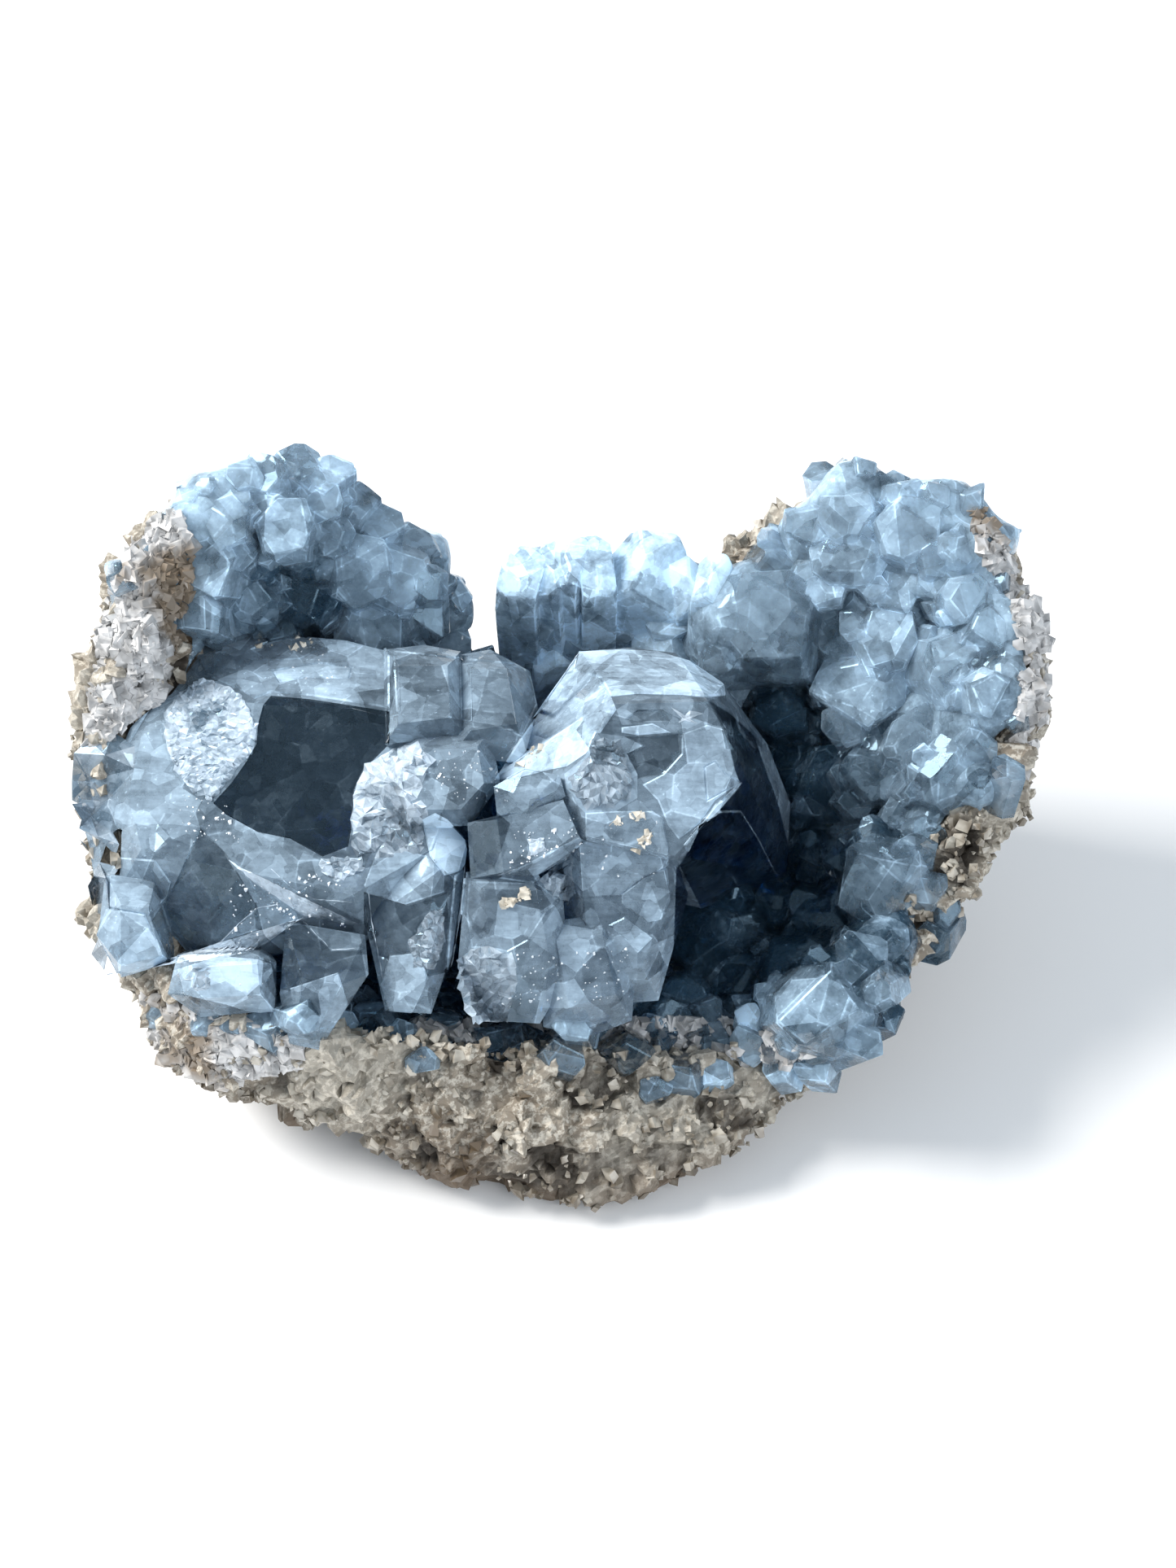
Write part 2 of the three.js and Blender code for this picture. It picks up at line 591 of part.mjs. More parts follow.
function cornerPoints({ height, slope, corners }) {
  const [toRight, toBack] = slope;
  return corners.map(([across, up, below]) => {
    const level = new THREE.Plane(new THREE.Vector3(-toRight, -toBack, 1), below - height);
    return sight(across, up).intersectPlane(level, new THREE.Vector3());
  });
}

// The same convex solid, larger all round by about half the growth
function grown(points, growth) {
  const steps = [-growth, growth];
  return points.flatMap((point) => steps.flatMap((step) => [
    point.clone().add(new THREE.Vector3(step, 0, 0)),
    point.clone().add(new THREE.Vector3(0, step, 0)),
    point.clone().add(new THREE.Vector3(0, 0, step)),
  ]));
}

// Broken blocks on the outside of the rock, sunk into it by more than half
const LUMP_COUNT = 16;
const LUMP_SEED = 23;
const LUMP_SIZE = 5;
const LUMP_SPREAD = 3;
const LUMP_SKEW = 0.45;
const LUMP_SINK = 0.3;
const LUMP_ROWS_FREE = 2;
const OUTSIDE_ROWS = ROCK_STEPS[0] + ROCK_STEPS[1] + ROCK_STEPS[2];

function lumpPoints() {
  const random = scatter(LUMP_SEED);
  const surface = rockSurface(RINGS, 0);
  const all = [];
  while (all.length < LUMP_COUNT) {
    const row = LUMP_ROWS_FREE + Math.floor(random() * (OUTSIDE_ROWS - LUMP_ROWS_FREE - 1));
    const place = surface[row][Math.floor(random() * ROCK_COLUMNS)].clone();
    const size = LUMP_SIZE + LUMP_SPREAD * random();
    const turn = new THREE.Euler(random() * Math.PI, random() * Math.PI, random() * Math.PI);
    const inward = new THREE.Vector3(-place.x, -place.y, 0).setLength(size * LUMP_SINK);
    const corners = [-0.5, 0.5].flatMap((x) => [-0.5, 0.5].flatMap((y) => [-0.5, 0.5].map((z) => (
      new THREE.Vector3(x, y, z)
        .add(new THREE.Vector3(random() - 0.5, random() - 0.5, random() - 0.5).multiplyScalar(LUMP_SKEW))
        .multiplyScalar(size).applyEuler(turn).add(place).add(inward)
    ))));
    if (place.z > size + LOWEST_SIDE) all.push(corners);
  }
  return all;
}

const lumpCorners = lumpPoints();
const lumpSolids = lumpCorners.map((points) => toManifold(new ConvexGeometry(points)));
const lumpGrown = lumpCorners.map((points) => toManifold(new ConvexGeometry(grown(points, 2 * GAP))));
const rock = mainBody(joined([toManifold(rockShell), ...lumpSolids]));
const rockRoom = joined([rock, toManifold(rockSolid(GAP)), ...lumpGrown]);

// The skin of grown celestite under the crust's crystals, over the inside of the rock from the rim down
function crustSkin() {
  const coarse = (rings) => rings.slice(OUTSIDE_ROWS + 1)
    .map((ring) => ring.filter((_, column) => column % 2 === 0));
  const under = coarse(rockSurface(RINGS, -SKIN_ROOT)).reverse();
  const over = coarse(rockSurface(RINGS, CRUST_SKIN));
  return toManifold(new LoftGeometry([...under, ...over]));
}

const largePoints = Object.values(LARGE_CRYSTALS).map(cornerPoints);
const largeSolids = largePoints.map((points) => toManifold(new ConvexGeometry(points)));
const largeGrown = largePoints.map((points) => toManifold(new ConvexGeometry(grown(points, 2 * GAP))));

const largeCrystals = mainBody(joined(largeSolids).subtract(rockRoom));
const crust = mainBody(
  joined([crustSkin(), ...crustCrystals()])
    .subtract(rockRoom)
    .subtract(joined(largeGrown)),
);

function named(name, manifold, color, roughness) {
  const material = new THREE.MeshStandardMaterial({ color, roughness, metalness: 0 });
  const mesh = new THREE.Mesh(toGeometry(manifold), material);
  mesh.name = name;
  return mesh;
}

const cluster = new THREE.Group();
cluster.add(
  named('matrix', rock, 0x9c968c, 0.9),
  named('large_crystals', largeCrystals, 0x6f8fae, 0.15),
  named('crystal_crust', crust, 0x86a4c4, 0.2),
);

// The origin is under the middle of the whole cluster, on the plane it rests on
const middle = new THREE.Box3().setFromObject(cluster).getCenter(new THREE.Vector3());
cluster.position.set(-middle.x, -middle.y, 0);

export default cluster;
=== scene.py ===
import math
import random

import bmesh
import bpy
from mathutils import Matrix, Vector, noise
from mathutils.bvhtree import BVHTree


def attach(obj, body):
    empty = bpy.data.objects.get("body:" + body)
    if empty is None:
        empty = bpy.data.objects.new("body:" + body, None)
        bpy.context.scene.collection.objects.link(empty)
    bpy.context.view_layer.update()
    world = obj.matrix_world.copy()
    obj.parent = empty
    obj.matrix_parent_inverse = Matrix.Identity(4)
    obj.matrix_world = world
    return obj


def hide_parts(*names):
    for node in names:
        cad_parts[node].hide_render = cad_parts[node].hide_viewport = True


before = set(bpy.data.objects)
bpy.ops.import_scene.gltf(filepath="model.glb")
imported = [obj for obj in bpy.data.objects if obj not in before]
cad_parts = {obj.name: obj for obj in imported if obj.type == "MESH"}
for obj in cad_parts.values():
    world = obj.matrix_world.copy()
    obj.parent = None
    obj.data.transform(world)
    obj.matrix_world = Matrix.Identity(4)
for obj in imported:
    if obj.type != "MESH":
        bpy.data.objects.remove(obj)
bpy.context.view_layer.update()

# The setting: a plain pale floor, a soft lamp high on the left, a weaker one on the right and a pale room.
# The cluster is seen from 45 degrees above its open front, an arm's length away. Every place below that is
# given as across and up lies on a slanted plane through the cluster's middle, which faces the camera.
MM = 0.001
LOOK_DOWN = math.radians(45)
EYE_DISTANCE = 450 * MM
FRAME_HEIGHT = 238 * MM
FRAME_CENTRE = (2.8, 4.9)
SENSOR_WIDTH = 36
NEAREST_SEEN = 10 * MM
LAYOUT_ORIGIN = Vector((0.6, 1.8, 32.6)) * MM
FLOOR_COLOUR = (0.86, 0.86, 0.86, 1)
FLOOR_SIZE = 4
ROOM_COLOUR = (0.8, 0.9, 1, 1)
ROOM_LIGHT = 0.62
ACROSS = Vector((1, 0, 0))
UPWARD = Vector((0, math.sin(LOOK_DOWN), math.cos(LOOK_DOWN)))
TOWARDS = Vector((0, -math.cos(LOOK_DOWN), math.sin(LOOK_DOWN)))


def layout(across, up, out=0.0):
    """A place on the slanted plane, in millimetres across, up and out towards the camera."""
    return LAYOUT_ORIGIN + (ACROSS * across + UPWARD * up + TOWARDS * out) * MM


scene = bpy.context.scene
eye = layout(*FRAME_CENTRE, EYE_DISTANCE / MM)
camera = bpy.data.objects.new("camera", bpy.data.cameras.new("camera"))
camera.data.sensor_width = SENSOR_WIDTH
camera.data.lens = SENSOR_WIDTH * EYE_DISTANCE / FRAME_HEIGHT
camera.data.clip_start = NEAREST_SEEN
camera.location = eye
camera.rotation_euler = (math.pi / 2 - LOOK_DOWN, 0, 0)
scene.collection.objects.link(camera)
scene.camera = camera


def lamp(name, place, size, watts, colour):
    """A square soft lamp that points at the cluster's middle."""
    light = bpy.data.lights.new(name, "AREA")
    light.size = size
    light.energy = watts
    light.color = colour
    lit = bpy.data.objects.new(name, light)
    lit.location = place
    lit.rotation_euler = (LAYOUT_ORIGIN - Vector(place)).to_track_quat("-Z", "Y").to_euler()
    scene.collection.objects.link(lit)


lamp("key", place=(-0.72, 0.1, 0.74), size=0.5, watts=18, colour=(1, 0.97, 0.93))
lamp("fill", place=(0.6, -0.75, 0.7), size=0.8, watts=7, colour=(0.95, 0.97, 1))
world = bpy.data.worlds.new("room")
world.use_nodes = True
world.node_tree.nodes["Background"].inputs["Color"].default_value = ROOM_COLOUR
world.node_tree.nodes["Background"].inputs["Strength"].default_value = ROOM_LIGHT
scene.world = world
scene.view_settings.view_transform = "Standard"
scene.cycles.use_denoising = True
scene.cycles.sample_clamp_indirect = 25
scene.cycles.max_bounces = 5


class Shade:
    """A material's node socket. Arithmetic on it adds Math nodes; node() adds any other node, whose sockets
    are given by name, with _ for a space, or by number, as _0."""

    def __init__(self, tree, socket=None):
        self.tree = tree
        self.socket = socket

    def node(self, kind, settings=None, output=0, **values):
        made = self.tree.nodes.new("ShaderNode" + kind)
        for name, setting in (settings or {}).items():
            setattr(made, name, setting)
        for name, value in values.items():
            key = int(name[1:]) if name[0] == "_" and name[1:].isdigit() else name.replace("_", " ")
            target = made.inputs[key]
            if isinstance(value, Shade):
                self.tree.links.new(value.socket, target)
            else:
                target.default_value = value
        return Shade(self.tree, made.outputs[output])

    def math(self, operation, first, second):
        return self.node("Math", {"operation": operation}, _0=first, _1=second)

    def __add__(self, other):
        return self.math("ADD", self, other)

    def __sub__(self, other):
        return self.math("SUBTRACT", self, other)

    def __rsub__(self, other):
        return self.math("SUBTRACT", other, self)

    def __mul__(self, other):
        return self.math("MULTIPLY", self, other)

    __radd__ = __add__
    __rmul__ = __mul__

    def carried(self, name):
        """The value that each face or point carries under a name."""
        return self.node("Attribute", {"attribute_name": name}, output=2)

    def step(self, low, high):
        """0 up to low, 1 from high on and smooth between; it falls where low is the larger."""
        smooth = {"interpolation_type": "SMOOTHSTEP"}
        return self.node("MapRange", smooth, Value=self, From_Min=low, From_Max=high)

    def clamp(self):
        return self.node("Clamp", Value=self)

    def mix(self, first, second):
        """The first colour where this is 0, the second where it is 1."""
        return self.node("Mix", {"data_type": "RGBA"}, output=2, _0=self, _6=first, _7=second)

    def feed(self, target, name="Surface"):
        """Links this to a socket of the material's output node."""
        self.tree.links.new(self.socket, target.inputs[name])


def material(name):
    """An empty material, its tree as a Shade, and the tree's output node."""
    made = bpy.data.materials.new(name)
    made.use_nodes = True
    made.node_tree.nodes.clear()
    return made, Shade(made.node_tree), made.node_tree.nodes.new("ShaderNodeOutputMaterial")


floor_paint, shade, output = material("floor_paint")
paint = shade.node("BsdfPrincipled", Base_Color=FLOOR_COLOUR, Roughness=0.9)
paint.feed(output)
sheet = bmesh.new()
bmesh.ops.create_grid(sheet, size=FLOOR_SIZE)
floor_mesh = bpy.data.meshes.new("floor")
sheet.to_mesh(floor_mesh)
sheet.free()
floor_mesh.materials.append(floor_paint)
floor = bpy.data.objects.new("floor", floor_mesh)
scene.collection.objects.link(floor)


# The matrix: the broken shell of the geode, grey-white limestone full of fine grains. It is one rough stone
# with blocks and pits on its outside, and the flat place that it rests on below.
ROCK_GRID = 0.85 * MM
FOOT_HEIGHT = 0.6 * MM
LOWEST_CHIP = 0.2 * MM
CHIP_SIZES = (
    # breadth of the broken facets, how far they stand out, and what shifts their pattern
    (12, 3.2, 9), (6, 3.2, 3), (2.8, 1.8, 17), (1.3, 0.8, 31),
)
CHIP_MIX = 7.31
STONE_GREY = (0.19, 0.158, 0.12, 1)
STONE_BEIGE = (0.32, 0.295, 0.25, 1)
STONE_SPECKS = (0.5, 0.465, 0.4, 1)
FOOT_STAIN_AND_SHADE = (0.1, 0.07, 0.045, 1)
PIT_DARK = (0.04, 0.032, 0.024, 1)


def piece(name, shape, paint, replaced=()):
    """The finished object of a bmesh, riding on the cluster's one body."""
    mesh = bpy.data.meshes.new(name)
    shape.to_mesh(mesh)
    shape.free()
    mesh.materials.append(paint)
    made = bpy.data.objects.new(name, mesh)
    scene.collection.objects.link(made)
    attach(made, "root")
    if replaced:
        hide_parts(*replaced)
    return made


def copy_of(node):
    """The merged copy of a CAD node's mesh."""
    shape = bmesh.new()
    shape.from_mesh(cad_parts[node].data)
    bmesh.ops.remove_doubles(shape, verts=shape.verts, dist=1e-6)
    return shape


def regridded(shape, spacing):
    """The shape on an even grid of small faces."""
    mesh = bpy.data.meshes.new("grid")
    shape.to_mesh(mesh)
    shape.free()
    holder = bpy.data.objects.new("grid", mesh)
    scene.collection.objects.link(holder)
    remesh = holder.modifiers.new("grid", "REMESH")
    remesh.mode = "VOXEL"
    remesh.voxel_size = spacing
    made = bmesh.new()
    made.from_object(holder, bpy.context.evaluated_depsgraph_get())
    bpy.data.objects.remove(holder)
    bpy.data.meshes.remove(mesh)
    made.normal_update()
    return made


def chipped(place, breadth, shift):
    """Height of a broken surface: each cell of it is a facet that leans its own way."""
    spot = place / breadth + Vector((shift, shift, shift))
    nearest = noise.voronoi(spot)[1][0]
    lean = noise.cell_vector(nearest * CHIP_MIX)
    return (lean - Vector((0.5, 0.5, 0.5))).dot(spot - nearest) + 0.5 * (lean.x - 0.5)


def broad_patches(coords):
    """Uneven patches a centimetre or two across, the same on the stone and on its grains."""
    return coords.node("TexNoise", Vector=coords, Scale=45, Detail=5, Roughness=0.6)


def foot_stain_and_shade(coords, patches):
    """The stone's dark brown foot, partly its own stain and partly painted shade low down: full at its foot
    and gone about 17 mm up, with an uneven edge.
    """
    height = coords.node("SeparateXYZ", Vector=coords, output=2)
    return (height * 60 + patches * 2.2).step(2.1, 1.1)


rock = regridded(copy_of("matrix"), ROCK_GRID)
depth = rock.verts.layers.float.new("depth")
moves = []
for vert in rock.verts:
    place = vert.co / MM
    height = sum(reach * chipped(place, breadth, shift) for breadth, reach, shift in CHIP_SIZES)
    vert[depth] = height
    moves.append(vert.normal * height * MM)
for vert, move in zip(rock.verts, moves):
    if vert.co.z > FOOT_HEIGHT:
        vert.co += move
        vert.co.z = max(vert.co.z, LOWEST_CHIP)

rock_paint, shade, output = material("matrix_rock")
coords = shade.node("TexCoord", output=3)
depths = shade.carried("depth")
patches = broad_patches(coords)
speckle = shade.node("TexNoise", Vector=coords, Scale=800, Detail=3, Roughness=0.7)
base = patches.step(0.38, 0.62).mix(STONE_GREY, STONE_BEIGE)
base = speckle.step(0.45, 0.62).mix(base, STONE_SPECKS)
# dark brown towards the foot: partly the stone's stain, partly painted shade low down
base = (foot_stain_and_shade(coords, patches) * 0.95).mix(base, FOOT_STAIN_AND_SHADE)
# darker, near black, down in the pits in some patches
darker_patches = depths.step(0, -1.4) * patches.step(0.66, 0.42)
base = darker_patches.mix(base, PIT_DARK)
bump = shade.node("Bump", Height=speckle, Strength=0.5, Distance=0.4 * MM)
stone = shade.node("BsdfPrincipled", Base_Color=base, Roughness=0.7, Normal=bump)
stone.feed(output)
piece("matrix_rock", rock, rock_paint, ["matrix"])


# Grains: the sugary coat of the matrix, grains of calcite and celestite a millimetre across that are
# grown fast to the rock. They are largest and whitest on the left rim and the right rim, where they pass
# into the crust.
GRAIN_COUNT = 9000
GRAIN_SIZES = (0.4, 1.5)
GRAINS_FROM = 2.5 * MM
HEAP_SCALE = 120
BARE_BELOW = -0.35
SUGAR_SIZES = (0.6, 2.1)
SUGAR_PLACES = (
    # left rim, right rim, lower left and the front edge: outline and number of grains
    ([(-70.5, 32), (-65, 43), (-60, 47), (-57, 41), (-58, 31), (-60, 24), (-62, 17), (-70, 12), (-74, 8),
      (-72, 20)], 900),
    ([(60, 46), (63, 47), (68, 37), (73, 30), (74, 20), (71, 12), (67, 4), (65, 6), (69, 18), (68, 30),
      (64, 38)], 420),
    ([(-66, -27), (-58, -29), (-50, -31), (-42, -34), (-38, -37), (-52, -41), (-62, -37)], 380),
    ([(-24, -30), (-12, -31), (0, -31), (10, -31), (24, -31), (38, -34), (34, -38), (10, -34), (-10, -35),
      (-24, -33)], 520),
)
chance = random.Random(4)


def join(whole, shape):
    """Adds a shape to a larger one and is done with it."""
    part = bpy.data.meshes.new("part")
    shape.to_mesh(part)
    shape.free()
    whole.from_mesh(part)
    bpy.data.meshes.remove(part)


def spots_on(mesh_shape, count, chance):
    """Places spread evenly over a shape's surface, each with the surface's normal."""
    faces = mesh_shape.faces[:]
    areas = [face.calc_area() for face in faces]
    for face in chance.choices(faces, weights=areas, k=count):
        corners = [vert.co for vert in face.verts]
        shares = [chance.random() for _ in corners]
        whole = sum(shares)
        spot = sum((corner * share / whole for corner, share in zip(corners, shares)), Vector())
        yield spot, face.normal.copy()


def sized(sizes, power, chance):
    """A size between two, the more often a small one the higher the power."""
    return sizes[0] + (sizes[1] - sizes[0]) * chance.random() ** power


def add_grain(whole, place, size, chance, skew=0.3):
    """Adds one angular grain: a cube turned any way, with its corners moved."""
    turn = Matrix.Rotation(chance.random() * math.tau, 4, Vector((chance.random(), chance.random(), 0.5)))
    grain = bmesh.new()
    bmesh.ops.create_cube(grain, size=size * MM, matrix=Matrix.Translation(place) @ turn)
    for vert in grain.verts:
        vert.co += Vector([chance.uniform(-skew, skew) * size * MM for _ in "xyz"])
    join(whole, grain)


def sighted(across, up, *trees):
    """The nearest of the trees' surfaces on the line of sight through a place of the layout."""
    ray = (layout(across, up) - eye).normalized()
    hits = [tree.ray_cast(eye, ray) for tree in trees]
    hits = [hit for hit in hits if hit[0] is not None]
    return min(hits, key=lambda hit: hit[3]) if hits else None


def seen_at(place):
    """Where on the layout the camera sees a place."""
    ray = place - eye
    reach = EYE_DISTANCE / -ray.dot(TOWARDS) / MM
    return FRAME_CENTRE[0] + ray.dot(ACROSS) * reach, FRAME_CENTRE[1] + ray.dot(UPWARD) * reach


def within(spot, outline):
    """Whether a spot of the layout lies inside an outline."""
    inside = False
    for (x1, y1), (x2, y2) in zip(outline, outline[1:] + outline[:1]):
        if (y1 > spot[1]) != (y2 > spot[1]) and spot[0] < x1 + (spot[1] - y1) * (x2 - x1) / (y2 - y1):
            inside = not inside
    return inside


def spots_in(outline, count, chance):
    """Spots of the layout spread evenly over an outline."""
    spans = [(min(axis), max(axis)) for axis in zip(*outline)]
    while count:
        spot = [chance.uniform(*span) for span in spans]
        if within(spot, outline):
            count -= 1
            yield spot


def lying_in(rows, chance, *trees):
    """The places that the camera sees on the trees' surfaces, spread over each row's outline."""
    for outline, count in rows:
        for spot in spots_in(outline, count, chance):
            hit = sighted(*spot, *trees)
            if hit:
                yield hit[0]


rock_shape = copy_of("matrix")
rock_shape.normal_update()
rock_tree = BVHTree.FromBMesh(rock_shape)
crust_tree = BVHTree.FromObject(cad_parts["crystal_crust"], bpy.context.evaluated_depsgraph_get())
large_tree = BVHTree.FromObject(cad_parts["large_crystals"], bpy.context.evaluated_depsgraph_get())
grains = bmesh.new()
for place, normal in spots_on(rock_shape, GRAIN_COUNT, chance):
    heap = noise.noise(place * HEAP_SCALE)
    if place.z < GRAINS_FROM or heap < BARE_BELOW:
        continue
    add_grain(grains, place + normal * (0.5 + 0.5 * heap) * MM, sized(GRAIN_SIZES, 2.2, chance), chance)
rock_shape.free()
sugar = bmesh.new()
for place in lying_in(SUGAR_PLACES, chance, rock_tree, crust_tree):
    size = sized(SUGAR_SIZES, 2, chance)
    add_grain(sugar, place + TOWARDS * (0.5 - 0.25 * size) * MM, size, chance, skew=0.2)


def grain_paint(name, dark, light, brown):
    """Glossy small grains in tones from dark to light, with brown grime in patches, and darker brown towards
    the foot, partly stain and partly painted shade.
    """
    made, shade, output = material(name)
    coords = shade.node("TexCoord", output=3)
    tone = shade.node("TexNoise", Vector=coords, Scale=420, Detail=2)
    patches = broad_patches(coords)
    base = tone.step(0.35, 0.65).mix(dark, light)
    darker_patches = (patches.step(0.48, 0.35) + foot_stain_and_shade(coords, patches) * 0.7).clamp()
    grain = shade.node("BsdfPrincipled", Base_Color=darker_patches.mix(base, brown), Roughness=0.3, IOR=1.6)
    grain.feed(output)
    return made


brown_grains = grain_paint("matrix_grains", dark=(0.18, 0.155, 0.12, 1), light=(0.45, 0.42, 0.36, 1),
                           brown=(0.1, 0.072, 0.045, 1))
white_grains = grain_paint("rim_sugar", dark=(0.28, 0.28, 0.28, 1), light=(0.58, 0.58, 0.58, 1),
                           brown=(0.2, 0.16, 0.12, 1))
piece("matrix_grains", grains, brown_grains)
piece("rim_sugar", sugar, white_grains)


# The crust: small and middle-sized celestite crystals that line the hollow, grown side by side on a thin
# skin of the same blue mineral. This is that skin, which shows only in the gaps.
CRYSTAL_IOR = 1.62
SKIN_GRID = 1.2 * MM
SKIN_SMOOTHING = 10
SKIN_MILK = 0.6
SKIN_SPOTS = 6000
CRUST_TONE = 0.44
TONE_RISE = 0.008
TONE_LEVEL = 18
TONE_LIMITS = (0.03, 0.95)
SHADED_PLACES = (
    # across, up, reach and how much darker, as painted shade: the deep hollow, its upper end, and the cavity
    # in the left lobe
    (24, -8, 22, 0.6), (33, 17, 7, 0.25), (-42, 35, 9, 0.4), (-40, 50, 16, 0.1),
)


def crystal_paint(name, dark, light, depth_colour, density, lean=0.2, glow=4 * MM, streaks=(300, 300, 300)):
    """Clear crystal with a milky share. Each face carries how milky and how pale it is, and whether it is a
    rubbed edge; rubbed edges and fine dots are painted lighter, partly as wear and dust and partly as
    painted highlights and glints. Inner flat faces of two sizes part it into angular patches, each leaning
    its own way as far as lean says. Light spreads inside over the glow; streaks is how fine the scratches are
    on each axis."""
    made, shade, output = material(name)
    coords = shade.node("TexCoord", output=3)
    broad = shade.node("TexNoise", Vector=coords, Scale=70, Detail=2)
    wisps = shade.node("TexNoise", Vector=coords, Scale=300, Detail=4, Roughness=0.66)
    fine = shade.node("TexNoise", Vector=coords, Scale=1400, Detail=2, Roughness=0.65)
    patch = shade.node("TexVoronoi", Vector=coords, Scale=150, output=1)
    small_patch = shade.node("TexVoronoi", Vector=coords, Scale=430, output=1)
    seams = shade.node("TexVoronoi", {"feature": "DISTANCE_TO_EDGE"}, Vector=coords, Scale=150)
    lines = seams.step(0.03, 0.0) * wisps.step(0.48, 0.58)
    # fine pale dots: partly dust, partly painted glints
    specks_and_glints = fine.step(0.66, 0.74) * broad.step(0.42, 0.6)
    milk = shade.carried("milk")
    tone = shade.carried("tone")
    rim = shade.carried("rim") * wisps.step(0.42, 0.6)
    along = shade.node("VectorMath", {"operation": "MULTIPLY"}, _0=coords, _1=streaks)
    streak = shade.node("TexNoise", Vector=along, Scale=1, Detail=3, Roughness=0.7)
    shift = shade.node("SeparateXYZ", Vector=patch) - 0.5
    small_shift = shade.node("SeparateXYZ", Vector=small_patch) - 0.5
    # veils, scratches, rubbed edges and fine dots lighten the milk; on the edges and dots this is partly
    # painted highlight and glint
    pale_and_lit = lines * 0.22 + rim * 0.25 + specks_and_glints * 0.3 + (streak - 0.5) * 0.3
    amount = milk * 1.3 + 0.2
    inner = (broad - 0.5) * 0.4 + shift * 0.32 + small_shift * 0.2 + (wisps - 0.5) * 0.6 + pale_and_lit
    veil = (milk + amount * inner).clamp()
    pale = (tone + amount * (inner * 0.75 + (fine - 0.5) * 0.3)).clamp()
    tilt = shade.node("VectorMath", {"operation": "DOT_PRODUCT"}, _0=patch, _1=coords, output=1)
    small_tilt = shade.node("VectorMath", {"operation": "DOT_PRODUCT"}, _0=small_patch, _1=coords, output=1)
    facets = shade.node("Bump", Height=tilt + small_tilt * 0.7, Strength=1.0, Distance=lean)
    rough = fine.step(0.3, 0.7) * 0.12 + 0.16
    milky = shade.node("BsdfPrincipled", {"subsurface_method": "BURLEY"}, Base_Color=pale.mix(dark, light),
                       Roughness=rough, IOR=CRYSTAL_IOR, Specular_IOR_Level=0.35,
                       Specular_Tint=(0.6, 0.82, 1, 1), Subsurface_Weight=0.8 if glow else 0.0,
                       Subsurface_Scale=glow, Subsurface_Radius=(1, 1, 1), Normal=facets)
    clear = shade.node("BsdfPrincipled", Base_Color=(0.94, 0.97, 1, 1), Roughness=0.05, IOR=CRYSTAL_IOR,
                       Specular_IOR_Level=0.3, Specular_Tint=(0.5, 0.78, 1, 1), Transmission_Weight=1.0,
                       Normal=facets)
    both = shade.node("MixShader", _0=veil, _1=clear, _2=milky)
    inside = shade.node("VolumeAbsorption", Color=depth_colour, Density=density)
    both.feed(output)
    inside.feed(output, "Volume")
    return made


def wall_tone_and_shading(across, up):
    """How pale the crust is: palest at the tops of the lobes, darkest down in the hollow. The rise towards
    the tops is partly the crystals' own tone and partly painted light from above; the dark places are painted
    shade.
    """
    tone = CRUST_TONE + TONE_RISE * (up - TONE_LEVEL)
    for middle_across, middle_up, reach, depth in SHADED_PLACES:
        tone -= depth * math.exp(-((across - middle_across) ** 2 + (up - middle_up) ** 2) / reach ** 2)
    return min(max(tone, TONE_LIMITS[0]), TONE_LIMITS[1])


crust_paint = crystal_paint("crust_crystal", dark=(0.02, 0.05, 0.085, 1), light=(0.58, 0.8, 1, 1),
                            depth_colour=(0.3, 0.6, 0.84, 1), density=20)
skin = regridded(copy_of("crystal_crust"), SKIN_GRID)
for _ in range(SKIN_SMOOTHING):
    bmesh.ops.smooth_vert(skin, verts=skin.verts, factor=0.5, use_axis_x=True, use_axis_y=True,
                          use_axis_z=True)
skin.normal_update()
skin_tree = BVHTree.FromBMesh(skin)
skin_spots = list(spots_on(skin, SKIN_SPOTS, chance))
milk = skin.faces.layers.float.new("milk")
tone = skin.faces.layers.float.new("tone")
skin.faces.layers.float.new("rim")
# the skin is evenly milky; its paleness has the wall's painted light high up and painted shade in the hollow
for face in skin.faces:
    face[milk] = SKIN_MILK
    face[tone] = wall_tone_and_shading(*seen_at(face.verts[0].co))
piece("crust_skin", skin, crust_paint, ["crystal_crust"])
